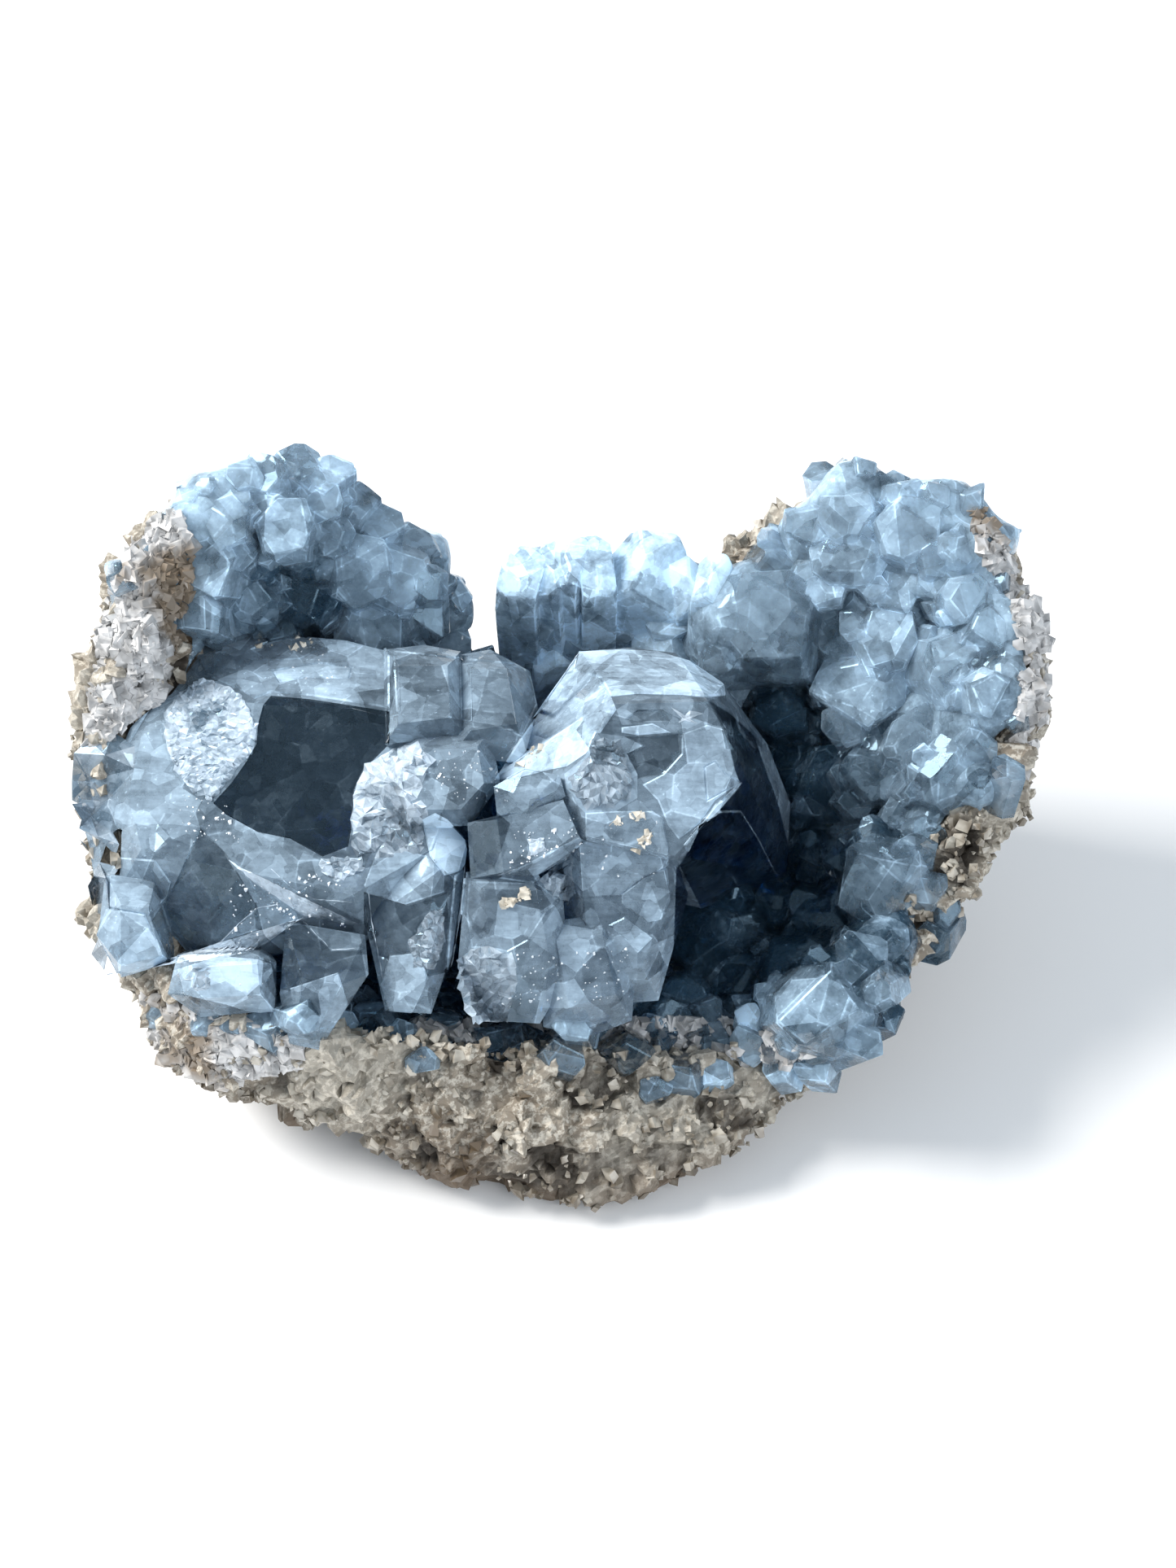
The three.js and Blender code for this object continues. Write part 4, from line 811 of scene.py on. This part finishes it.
# The large crystals: one clear to cloudy mass of celestite that has grown together, in the hollow's left
# and middle. Its faces are parted into dark windows, milky and pale areas and fresh breaks, each slightly
# raised or sunk. Each row gives an area's look, how far it stands out, and its outline on the layout.
LOOKS = {
    # milky share and paleness; the first is for what no area covers. The palest look is partly the crystal's
    # own whiteness and partly painted light and highlight on faces turned to the light
    "": (0.45, 0.42), "window": (0.12, 0.0), "lilac": (0.75, 0.7), "navy": (0.25, 0.3),
    "smoke": (0.44, 0.53), "slate": (0.5, 0.53), "haze": (0.58, 0.53), "milk": (0.62, 0.52),
    "pale": (0.7, 0.68), "pale_and_lit": (0.8, 0.88), "grey": (0.62, 0.5),
}
AREAS = (
    # broad left crystal
    ("smoke", 0.0, [(-61, 19.8), (-60.5, 17.8), (-61.9, 12), (-60.2, 6.6), (-57, 2.7), (-55.1, 1.3),
     (-55.6, -1.7), (-60.5, -1.2), (-67.8, -1.2), (-73.7, 0.8), (-74.2, 3.2), (-66.8, 11)]),
    ("pale", 0.25, [(-61, 20.8), (-66.8, 11), (-74.2, 3.2), (-74.6, 9.1), (-70.3, 13.5), (-64.4, 16.4)]),
    ("window", -0.2, [(-45.3, 18.3), (-39.5, 17.8), (-33.6, 16.9), (-27.3, 15.9), (-27.3, 11),
     (-31.2, 7.1), (-32.6, 4.2), (-33.1, -1.7), (-33.6, -4.6), (-37.5, -6.1), (-42.4, -3.4), (-47.3, -2.4),
     (-52.2, 0.3), (-54.1, 2), (-51.2, 5.2), (-49.2, 8.1), (-47.5, 11), (-47.3, 13.9), (-46.5, 16.9)]),
    ("smoke", 0.0, [(-53.1, 0.8), (-47.3, -2.4), (-37.5, -6.3), (-37.5, -9), (-42.4, -11.5),
     (-45.3, -10.5), (-49.2, -9), (-52.2, -5.6), (-55.6, -1.7)]),
    ("haze", 0.2, [(-57, 25.2), (-54.6, 28.6), (-49.2, 29.6), (-42.4, 29.1), (-32.6, 27.1), (-27.3, 25.2),
     (-27.3, 16.4), (-33.6, 17.4), (-39.5, 18.3), (-45.3, 18.8), (-47.8, 17.8), (-50.2, 19.3),
     (-55.1, 21.3)]),
    ("pale", 0.15, [(-45, 22), (-38, 23.2), (-33, 22.5), (-33.5, 20.8), (-40, 21), (-44, 20.3)]),
    ("slate", 0.15, [(-48.2, 25.2), (-45.3, 26.6), (-40.4, 27.2), (-37, 25.6), (-41, 23.8), (-46, 23.6)]),
    ("smoke", -0.15, [(-26.8, 25.2), (-7.2, 23.2), (-4.3, 18.3), (-7.2, 12), (-11.6, 13.9), (-21.4, 15.4),
     (-26.3, 15.9)]),
    ("navy", -0.15, [(-63.4, -15.9), (-60, -10.5), (-56.1, -1.7), (-52.2, -5.6), (-49.2, -10.5),
     (-47.3, -13.9), (-53.1, -19.3), (-58.5, -21.7), (-61, -21.2)]),
    ("slate", 0.2, [(-69.8, -6.1), (-62.9, -6.6), (-60.5, -10), (-61, -12), (-63.9, -15.1),
     (-69.8, -13.9)]),
    ("haze", 0.3, [(-70.2, -13.9), (-64.4, -14.9), (-63.4, -17.3), (-61, -21.7), (-64.4, -23.2),
     (-70.2, -24.2), (-71.7, -18.3)]),
    ("navy", 0.0, [(-46.5, -17.5), (-40.4, -16.3), (-36.1, -20.5), (-31.6, -20.3), (-30.7, -25.1),
     (-33.6, -28.6), (-44.3, -26.1)]),
    # lower left blocks
    ("lilac", 0.2, [(-59.5, -23.2), (-53.1, -21.2), (-47.3, -21.7), (-45.3, -22.4), (-44.6, -26.1),
     (-44.8, -30), (-49.2, -29.5), (-52.2, -28.5), (-58.5, -27.1)]),
    ("haze", 0.0, [(-67.3, -25.1), (-59.5, -23.2), (-58.5, -27.6), (-60.5, -32.4), (-66.8, -30.5)]),
    ("grey", 0.2, [(-42.4, -26.1), (-35.1, -23.7), (-33.6, -28.6), (-36.5, -33), (-41.4, -32)]),
    # smoky block and prism
    ("smoke", 0.0, [(-21.4, 14.9), (-16, 13.9), (-8.7, 13), (-8.2, 9.1), (-11.6, 5.2), (-11.6, 1.3),
     (-14.1, -0.7), (-18, -0.2), (-20.4, 3.2), (-20.4, 9.1)]),
    ("pale_and_lit", 0.3, [(-22.4, -0.5), (-20.4, 0.5), (-18.5, -0.5), (-15.8, -3.4), (-15.8, -6.6),
     (-16.5, -8.3), (-19, -9), (-21.2, -6.1)]),
    ("milk", 0.15, [(-31.2, -10.5), (-29.7, -6.6), (-25.3, -5.1), (-21.4, -6.1), (-19, -9), (-19, -11.5),
     (-24.9, -13.4), (-29.7, -14.4)]),
    ("navy", -0.15, [(-31.2, -11.5), (-24.9, -13.4), (-18.5, -11.5), (-18, -16.3), (-18.5, -23.7),
     (-22.9, -24.6), (-29.2, -21.2), (-31.2, -16.3)]),
    ("milk", 0.2, [(-17.5, -9), (-15.7, -7.6), (-16, -13.9), (-17.3, -18.8), (-18.2, -24.2),
     (-18.7, -23.7), (-18.2, -16.3)]),
    ("haze", 0.15, [(-27.3, -21.2), (-22.9, -20.7), (-21.4, -24.6), (-23.9, -30), (-27.3, -30),
     (-28.7, -25.6)]),
    # tall middle crystal: its cap and left face are painted pale as painted light and highlight, and its
    # right side, which faces the hollow, is clear, with its milky share darkened as painted shade
    ("pale_and_lit", 0.25, [(1.6, 24.9), (7.9, 25.2), (13.4, 24.9), (18.1, 23.5), (22.1, 21.3), (23.4, 19.8),
     (23.6, 18.3), (20.5, 18.1), (17.3, 18.4), (10.3, 18.6), (6.3, 18.2), (4.7, 21), (0.8, 22.1)]),
    ("pale_and_lit", 0.1, [(1.2, 24.9), (0.8, 22.1), (4.7, 21), (6.3, 18.2), (7.1, 16.2), (4.7, 12.7),
     (2.4, 9.5), (-0.4, 7.6), (-2.4, 7.2), (-5.5, 6.4), (-9, 5.6), (-11.4, 5.6), (-7.9, 11.1),
     (-4.3, 16.2)]),
    ("haze", 0.0, [(7.1, 16.2), (10.3, 18.2), (17.3, 18.2), (20.5, 17.2), (21.1, 16.2), (20.9, 13.9),
     (19.3, 12.7), (15.4, 12.7), (12.6, 13.9), (7.9, 13.9)]),
    ("smoke", -0.2, [(8.3, 14.7), (10.3, 16.2), (14.2, 16.2), (15.4, 14.3), (12.6, 14.3), (9.5, 14.1)]),
    ("pale", 0.2, [(7.9, 13.5), (12.6, 14.1), (15.4, 12.7), (10.3, 12.3), (7.9, 12.7)]),
    ("navy", -0.2, [(8.3, 12.1), (16.6, 12.5), (17, 9.5), (14.2, 6.4), (10.3, 5.6), (7.9, 8),
     (8.7, 10.3)]),
    ("haze", 0.0, [(4, 12.7), (8.3, 12.1), (11.1, 10.7), (8.7, 9.5), (10.3, 6.4), (10.3, 2.8), (7.1, 0.8),
     (2.4, 0.5), (-0.4, 3.2), (-0.8, 6.4), (2.4, 9.1)]),
    ("milk", 0.15, [(17, 12.5), (20.9, 13.9), (23.7, 13.1), (25.2, 6.4), (26, 5.2), (22.1, 2.4),
     (19.7, -1.1), (16.6, -3.5), (15, -1.5), (13.4, 2.4), (11.1, 4.8), (14.2, 6.4), (17, 9.5)]),
    ("grey", 0.2, [(20.5, 7.5), (22.1, 8.3), (23.7, 6.4), (26, 5.2), (23.7, 4), (20.9, 2.4)]),
    ("haze", 0.3, [(26, 5.2), (25.2, 4.4), (22.1, 1.6), (19.7, -1.5), (17.3, -4.3), (18.1, -6.2),
     (19.7, -3.9), (22.5, 0.1), (24.8, 2.8)]),
    ("window", 0.0, [(21.3, 17.4), (24.1, 15.8), (28, 12.3), (30, 6.4), (31.5, 2.4), (33.5, -5.4),
     (33.5, -11.3), (31.1, -8.2), (28.8, -3.5), (26, 0.9), (22.5, 0.9), (26, 4.8), (25.2, 6.8),
     (23.7, 13.5)]),
    ("window", 0.0, [(19.8, -1.6), (22.5, 0.5), (26, 0.6), (28.6, -3.6), (31, -8.4), (33.4, -11.6),
     (34.5, -20), (15.8, -20), (16.2, -8), (17.4, -6.4)]),
    # small pale crystal and frosted block
    ("milk", 0.0, [(-8.8, 5.4), (-1.9, 7.3), (-0.8, 6.4), (-1.9, 4), (-5.5, 2), (-7.1, -0.3), (-9, -1.1),
     (-11.4, 0.9), (-11, 2.4), (-9.4, 3.2)]),
    ("smoke", 0.0, [(-9, -1.1), (-5.5, 2), (-1.5, 3.8), (0.4, 0.8), (1.6, -2.3), (-1.9, -5.1),
     (-9.4, -8.2), (-11, -7.8), (-9.4, -4.7), (-10.2, -2.3)]),
    ("navy", 0.0, [(-15.3, -1.5), (-11.4, 0.9), (-9, -1.1), (-10.2, -4.7), (-11.4, -7.8), (-15.3, -9.4),
     (-15.7, -4.3)]),
    ("grey", 0.1, [(-11, -9.4), (1.6, -3.1), (2.4, -3.9), (-4.3, -9.4), (-5.5, -10.2)]),
    # lower blocks of the middle
    ("milk", 0.2, [(2.4, 0.5), (7.1, 0.8), (12.6, 0.8), (14.2, -0.3), (15, -4.7), (15, -7.4),
     (10.3, -11.8), (4.7, -12.2), (2.4, -14.5), (0.4, -9.4), (0.8, -4.7), (2.4, -3.5)]),
    ("milk", 0.3, [(7.9, -11.8), (11.1, -9.4), (14.6, -7.8), (15.2, -12.6), (13.8, -15.7), (11.9, -16.1),
     (7.9, -13.3)]),
    ("smoke", -0.15, [(-15.3, -9.8), (-4.7, -10.2), (-1.5, -12.9), (-3.5, -14.5), (-6.3, -18.9),
     (-9.8, -20.8), (-14.9, -20), (-15.7, -14.5)]),
    ("slate", 0.0, [(-1.5, -12.9), (4.7, -12.2), (7.9, -13.7), (10.3, -20.8), (10.3, -25.1), (7.1, -28.3),
     (0.4, -29.1), (-7.5, -29.1), (-8.2, -25.1), (-5.9, -19.2)]),
    ("grey", 0.2, [(5.9, -16.5), (8.3, -15.3), (12.6, -18.5), (10.3, -20.8), (8.7, -18.9)]),
    ("milk", 0.0, [(-14.5, -20), (-12.2, -20), (-8.6, -20.8), (-8.2, -25.1), (-9.4, -31.4), (-14.9, -31.4),
     (-17.3, -25.1), (-17.3, -22)]),
)
WORN = 0.3
STEP_WIDTH = 0.22
FLAT_ANGLE = math.radians(1)
SHARP_ANGLE = math.radians(8)
SEEN_WITHIN = 1.2 * MM


def parted(shape, outline, tree):
    """Cuts an outline of the layout into the faces that it covers, and gives the faces inside it."""
    spans = [(min(axis) - 0.5, max(axis) + 0.5) for axis in zip(*outline)]
    covered = {}
    for face in shape.faces:
        if face.normal.dot(eye - face.verts[0].co) <= 0:
            continue
        places = list(zip(*(seen_at(vert.co) for vert in face.verts)))
        if all(max(place) > span[0] and min(place) < span[1] for place, span in zip(places, spans)):
            covered.update(dict.fromkeys([face, *face.edges, *face.verts]))
    covered = list(covered)
    for first, second in zip(outline, outline[1:] + outline[:1]):
        side = (layout(*first) - eye).cross(layout(*second) - eye).normalized()
        covered = bmesh.ops.bisect_plane(shape, geom=covered, dist=2e-6, plane_co=eye, plane_no=side)["geom"]
    inside = []
    for face in (part for part in covered if isinstance(part, bmesh.types.BMFace)):
        middle = face.calc_center_median()
        hit = tree.ray_cast(eye, (middle - eye).normalized())
        shows = hit[0] is None or hit[3] > (middle - eye).length - SEEN_WITHIN
        if shows and within(seen_at(middle), outline):
            inside.append(face)
    return inside


large_paint = crystal_paint("large_crystal", dark=(0.045, 0.075, 0.11, 1), light=(0.5, 0.66, 0.81, 1),
                            depth_colour=(0.04, 0.42, 0.64, 1), density=160, lean=0.12, glow=0.0,
                            streaks=(160, 1300, 1300))
large = copy_of("large_crystals")
bmesh.ops.dissolve_limit(large, angle_limit=FLAT_ANGLE, verts=large.verts, edges=large.edges)
milky, pale, edge_wear_and_glint = faced(large)
sharp = [edge for edge in large.edges if edge.calc_face_angle(0) > SHARP_ANGLE]
wear(large, sharp, WORN * MM, edge_wear_and_glint)
large.normal_update()
for number, area in enumerate(AREAS, 1):
    for face in parted(large, area[2], large_tree):
        face.material_index = number
    bmesh.ops.dissolve_limit(large, angle_limit=FLAT_ANGLE / 2, verts=large.verts, edges=large.edges,
                             delimit={"MATERIAL"})
groups = {}
for face in large.faces:
    groups.setdefault(face.material_index, []).append(face)
for number, faces in groups.items():
    look, rise = AREAS[number - 1][:2] if number else ("", 0)
    for face in faces:
        face[milky], face[pale] = LOOKS[look]
        face[pale] += chance.uniform(-0.06, 0.06)
    if rise:
        ring = bmesh.ops.inset_region(large, faces=faces, thickness=STEP_WIDTH * MM, depth=rise * MM,
                                      use_even_offset=True)
        for side in ring["faces"]:
            side[edge_wear_and_glint] = 0.8
for face in large.faces:
    face.material_index = 0
piece("large_crystals_clear", large, large_paint, ["large_crystals"])


# Fresh breaks: crumpled frosty patches, glassy broken ledges and fine healed cracks on the large
# crystals, each a thin sheet of small facets. Rows: milky share, paleness, size of facet, height of the
# crumple, outline.
SHEET_THICK = 0.7
SHEET_REACH = 6 * MM
LEDGE_FACET = 5
LEDGE_CRUMPLE = 0.8
CRACK_SHARE = 0.2
CRACK_FACET = 1.2
CRACK_CRUMPLE = 0.02
BREAKS = (
    (1.0, 0.62, 0.9, 0.4, [(-59.5, 18.3), (-56.1, 21), (-53.6, 20.5), (-51.2, 19.3), (-49.5, 17.8),
     (-48.5, 15.9), (-47.3, 13.9), (-47.8, 11), (-49, 8.6), (-50.7, 6.9), (-52.2, 4.7), (-54.6, 2),
     (-55.6, 3.2), (-57, 3.2), (-58.5, 5.2), (-60, 7.1), (-61.4, 11.5), (-61.4, 15.9)]),
    (0.75, 0.7, 1.5, 0.8, [(-30.9, 7.6), (-27.7, 10), (-23.3, 11.3), (-20.9, 9.6), (-20.4, 8.6),
     (-21.4, 7.1), (-22.9, 3.2), (-25.3, 0.8), (-27.7, -3.1), (-29.7, -5.6), (-32.6, -6.1), (-33.4, -3.6),
     (-32.9, -0.7), (-33.1, 3.2)]),
    (0.8, 0.7, 0.9, 0.5, [(-38, -6.6), (-35.1, -6.1), (-31.2, -6.1), (-31.2, -8), (-35.1, -10),
     (-37.5, -9)]),
    (0.5, 0.65, 1.3, 0.7, [(-25.3, 1.3), (-22.4, 2.7), (-21.4, 0.8), (-22.4, -1.7), (-21.9, -4.6),
     (-23.9, -6.1), (-27.8, -6.6), (-29.7, -6.1), (-27.8, -2.7)]),
    (0.6, 0.6, 1.0, 0.5, [(-4.7, -9.8), (0, -5.4), (1.6, -7.4), (0.8, -11.8), (0, -13.3), (-2.3, -11.8)]),
    (0.6, 0.55, 1.2, 0.5, [(-14.5, -20), (-12.2, -20), (-8.6, -20.8), (-8.2, -25.1), (-9.4, -31.4),
     (-14.9, -31.4), (-17, -25.1), (-17, -22)]),
    (0.45, 0.5, 1.2, 0.7, [(3.2, 11.9), (7.5, 11.5), (8.3, 9.5), (9.6, 6.4), (9.5, 3), (6.5, 1.4),
     (2.8, 1.2), (0.3, 3.4), (0, 6.2), (3, 9)]),
    (0.8, 0.95, 0.7, 0.3, [(-6.3, -3.5), (-3.9, -3.1), (-3.5, -5.1), (-6.3, -6.2)]),
    (0.7, 0.6, 1.4, 0.5, [(-59.5, -23.2), (-54.5, -21.8), (-53.5, -24.5), (-55, -27.3), (-58.5, -27.1)]),
    (0.45, 0.55, 1.0, 0.5, [(-21.5, -14.5), (-19.2, -14), (-19, -19), (-20.5, -23), (-23.8, -23.4),
     (-24.5, -19.5)]),
)
LEDGES = (
    # the broad crystal's left edge, which hangs over the rock: milky share, paleness, lift, outline
    (0.6, 0.35, 1.2, [(-74.4, 9), (-70.3, 12.5), (-66, 11), (-68.5, 2), (-74.6, 2.2)]),
    (0.5, 0.28, 1.4, [(-74.6, 2.4), (-68.5, 2.4), (-67.5, -5), (-70, -7), (-74.8, -3.2)]),
    (0.55, 0.24, 1.0, [(-74.4, -3.6), (-70, -7.4), (-68.2, -6.6), (-69, -14), (-71.2, -14.6),
     (-73.2, -9.5)]),
    (0.6, 0.35, 0.8, [(-71.4, -14.6), (-69.4, -14.2), (-69.8, -24), (-71.4, -22), (-72.3, -18)]),
)
CRACKS = (
    # breadth of the crack's glint, and the line that it follows
    (1.3, [(-51.7, -6.6), (-47.8, -10), (-43.4, -12.9), (-40.4, -14.9), (-32.1, -16.3)]),
    (0.8, [(-53.6, -19.8), (-50.2, -16.3), (-47.3, -13.9), (-42.9, -13.2)]),
    (0.9, [(-70.2, -24), (-60.5, -22.4), (-52.2, -21.4), (-47.3, -20), (-42.9, -16.3), (-40.4, -15.4)]),
    (0.6, [(-40.4, -15.9), (-36.1, -20.3), (-31.6, -20)]),
    (0.5, [(-45.3, -8), (-41.4, -11.5), (-38.5, -12.6), (-33, -13)]),
    (0.6, [(-11, -9), (-5.5, -7), (-1.5, -5.1), (1.6, -2.7)]),
    (0.5, [(1.4, 24.8), (-4.3, 16.2), (-7.9, 11.1), (-11.3, 5.7)]),
    (0.5, [(9.8, 24.5), (9.2, 21.5), (10.2, 18.8)]),
    (0.4, [(6.3, 22.5), (8.2, 20.2), (9.8, 19.5)]),
    (0.4, [(15.5, 16.5), (17.3, 14.6), (19.5, 14)]),
    (0.4, [(16.6, 14.2), (18.2, 16), (20.3, 15.6)]),
    (0.5, [(26, 5.1), (22.3, 1.9), (19.6, -1.3), (17.2, -4.1)]),
    (0.5, [(-30.8, -9.5), (-30, -16), (-29, -21), (-28, -27)]),
    (0.5, [(-15.7, -4), (-16.3, -13.9), (-18, -23)]),
    (0.4, [(-63, -7), (-60.6, -10), (-61.2, -12.2), (-63.8, -14.9)]),
)


def add_sheet(whole, outline, milk, tone, grain, height, chance, *trees, lift=0.0):
    """Adds one closed sheet of small broken facets that lies on the trees' surfaces over an outline."""
    sheet = bmesh.new()
    bmesh.ops.create_circle(sheet, cap_ends=True, segments=len(outline), radius=1)
    for vert, (across, up) in zip(sheet.verts, outline):
        vert.co = (across, up, 0)
    bmesh.ops.triangulate(sheet, faces=sheet.faces)
    for _ in range(9):
        long = [edge for edge in sheet.edges if edge.calc_length() > grain]
        if not long:
            break
        bmesh.ops.subdivide_edges(sheet, edges=long, cuts=1)
        bmesh.ops.triangulate(sheet, faces=sheet.faces)
    border = {vert for vert in sheet.verts if vert.is_boundary}
    share = 0.3 if height > 0.1 else 0.06
    for vert in sheet.verts:
        vert.co += Vector((chance.uniform(-share, share), chance.uniform(-share, share), 0)) * grain
        if vert not in border:
            vert.co.z = chance.random() * height + 0.05 + lift
    back = bmesh.ops.extrude_face_region(sheet, geom=sheet.faces[:])
    for vert in (part for part in back["geom"] if isinstance(part, bmesh.types.BMVert)):
        vert.co.z = -SHEET_THICK
    hits = [sighted(*spot, *trees) for spot in outline]
    reaches = sorted(hit[3] for hit in hits if hit)
    middle = reaches[len(reaches) // 2]
    milky, pale, edge_wear_and_glint = faced(sheet)
    for face in sheet.faces:
        face[milky] = milk + chance.uniform(-0.2, 0.2)
        face[pale] = tone + chance.uniform(-0.25, 0.2)
    for vert in sheet.verts:
        ray = (layout(vert.co.x, vert.co.y) - eye).normalized()
        hit = sighted(vert.co.x, vert.co.y, *trees)
        reach = hit[3] if hit else middle
        reach = min(max(reach, middle - SHEET_REACH), middle + SHEET_REACH)
        vert.co = eye + ray * (reach - vert.co.z * MM)
    bmesh.ops.recalc_face_normals(sheet, faces=sheet.faces)
    join(whole, sheet)


def ribbon(line, width, chance):
    """The outline of an uneven ribbon along a line."""
    left, right = [], []
    for first, second in zip(line, line[1:]):
        along = Vector(second) - Vector(first)
        aside = Vector((-along.y, along.x)).normalized() * width / 2
        count = max(2, round(along.length / 1.5))
        for step in range(count):
            spot = Vector(first) + along * step / count
            left.append(spot + aside * chance.uniform(0.2, 1.5))
            right.append(spot - aside * chance.uniform(0.2, 1.5))
    return [tuple(spot) for spot in (line[0], *left, line[-1], *right[::-1])]


breaks = bmesh.new()
faced(breaks)
for milk, tone, grain, height, outline in BREAKS:
    add_sheet(breaks, outline, milk, tone, grain, height, chance, large_tree)
for width, line in CRACKS:
    outline = ribbon(line, CRACK_SHARE * width, chance)
    add_sheet(breaks, outline, 0.9, 0.85, CRACK_FACET, CRACK_CRUMPLE, chance, large_tree)
for milk, tone, lift, outline in LEDGES:
    add_sheet(breaks, outline, milk, tone, LEDGE_FACET, LEDGE_CRUMPLE, chance, large_tree, rock_tree,
              lift=lift)
break_paint = crystal_paint("fresh_breaks", dark=(0.12, 0.19, 0.26, 1), light=(0.62, 0.73, 0.84, 1),
                            depth_colour=(0.5, 0.7, 0.82, 1), density=40, lean=0.4, glow=0.0)
piece("fresh_breaks", breaks, break_paint)


# Crumbs and splinters: cream grains of the rock, and tiny pale chips of crystal, whose near-white partly
# stands for glints of small facets as painted highlight. Both lie fast on the large crystals' faces. Rows:
# outline of the place, and how many lie there.
CRUMB_SIZES = (0.12, 1.02)
SPLINTER_SIZES = (0.12, 0.42)
CRUMBS = (
    ([(5.9, -1.5), (11.9, -0.8), (11.5, 0.4), (6.5, 0.2)], 60),
    ([(9.9, -5.9), (13.4, -3), (12.6, -1.9), (10, -3.8)], 45),
    ([(9.5, -9), (10.3, -9), (10.3, -7.8), (9.4, -7.8)], 12),
    ([(-10.8, -13.4), (-6.4, -11), (-5.9, -12), (-9.8, -13.9)], 60),
    ([(-8.1, 6.8), (-5.5, 8.3), (-3.5, 11.1), (-5.8, 10.3)], 40),
    ([(-49, 25), (-45, 25.4), (-45, 28), (-49, 27.6)], 25),
    ([(-42.9, 25), (-39, 25.4), (-39, 27.6), (-42.9, 27.2)], 25),
)
SPLINTERS = (
    ([(-42.9, 20), (-33.6, 20.4), (-33.6, 26), (-42.9, 25.6)], 60),
    ([(-60, 4), (-52, 2), (-50, -4), (-58, -4)], 40),
    ([(-9, -2), (2, -2), (2, -8), (-9, -8)], 60),
    ([(-12, -21), (9, -20), (8, -28), (-12, -29)], 90),
    ([(0, 0), (14, -1), (14, -10), (2, -10)], 70),
    ([(-52, -10), (-34, -8), (-34, -17), (-52, -20)], 90),
    ([(-21, 10), (-9, 10), (-9, 2), (-20, 2)], 50),
    ([(-59, -23), (-45, -23), (-45, -29), (-59, -27)], 50),
)
crumbs = bmesh.new()
splinters_and_glints = bmesh.new()
for whole, places, sizes in ((crumbs, CRUMBS, CRUMB_SIZES), (splinters_and_glints, SPLINTERS, SPLINTER_SIZES)):
    for place in lying_in(places, chance, large_tree):
        add_grain(whole, place, sized(sizes, 4, chance), chance, skew=0.35)
cream = grain_paint("crumbs", dark=(0.42, 0.38, 0.31, 1), light=(0.7, 0.66, 0.58, 1),
                    brown=(0.3, 0.23, 0.16, 1))
glint = grain_paint("splinters_and_glints", dark=(0.5, 0.56, 0.62, 1), light=(0.86, 0.9, 0.94, 1),
                    brown=(0.4, 0.46, 0.52, 1))
piece("crumbs", crumbs, cream)
piece("splinters_and_glints", splinters_and_glints, glint)
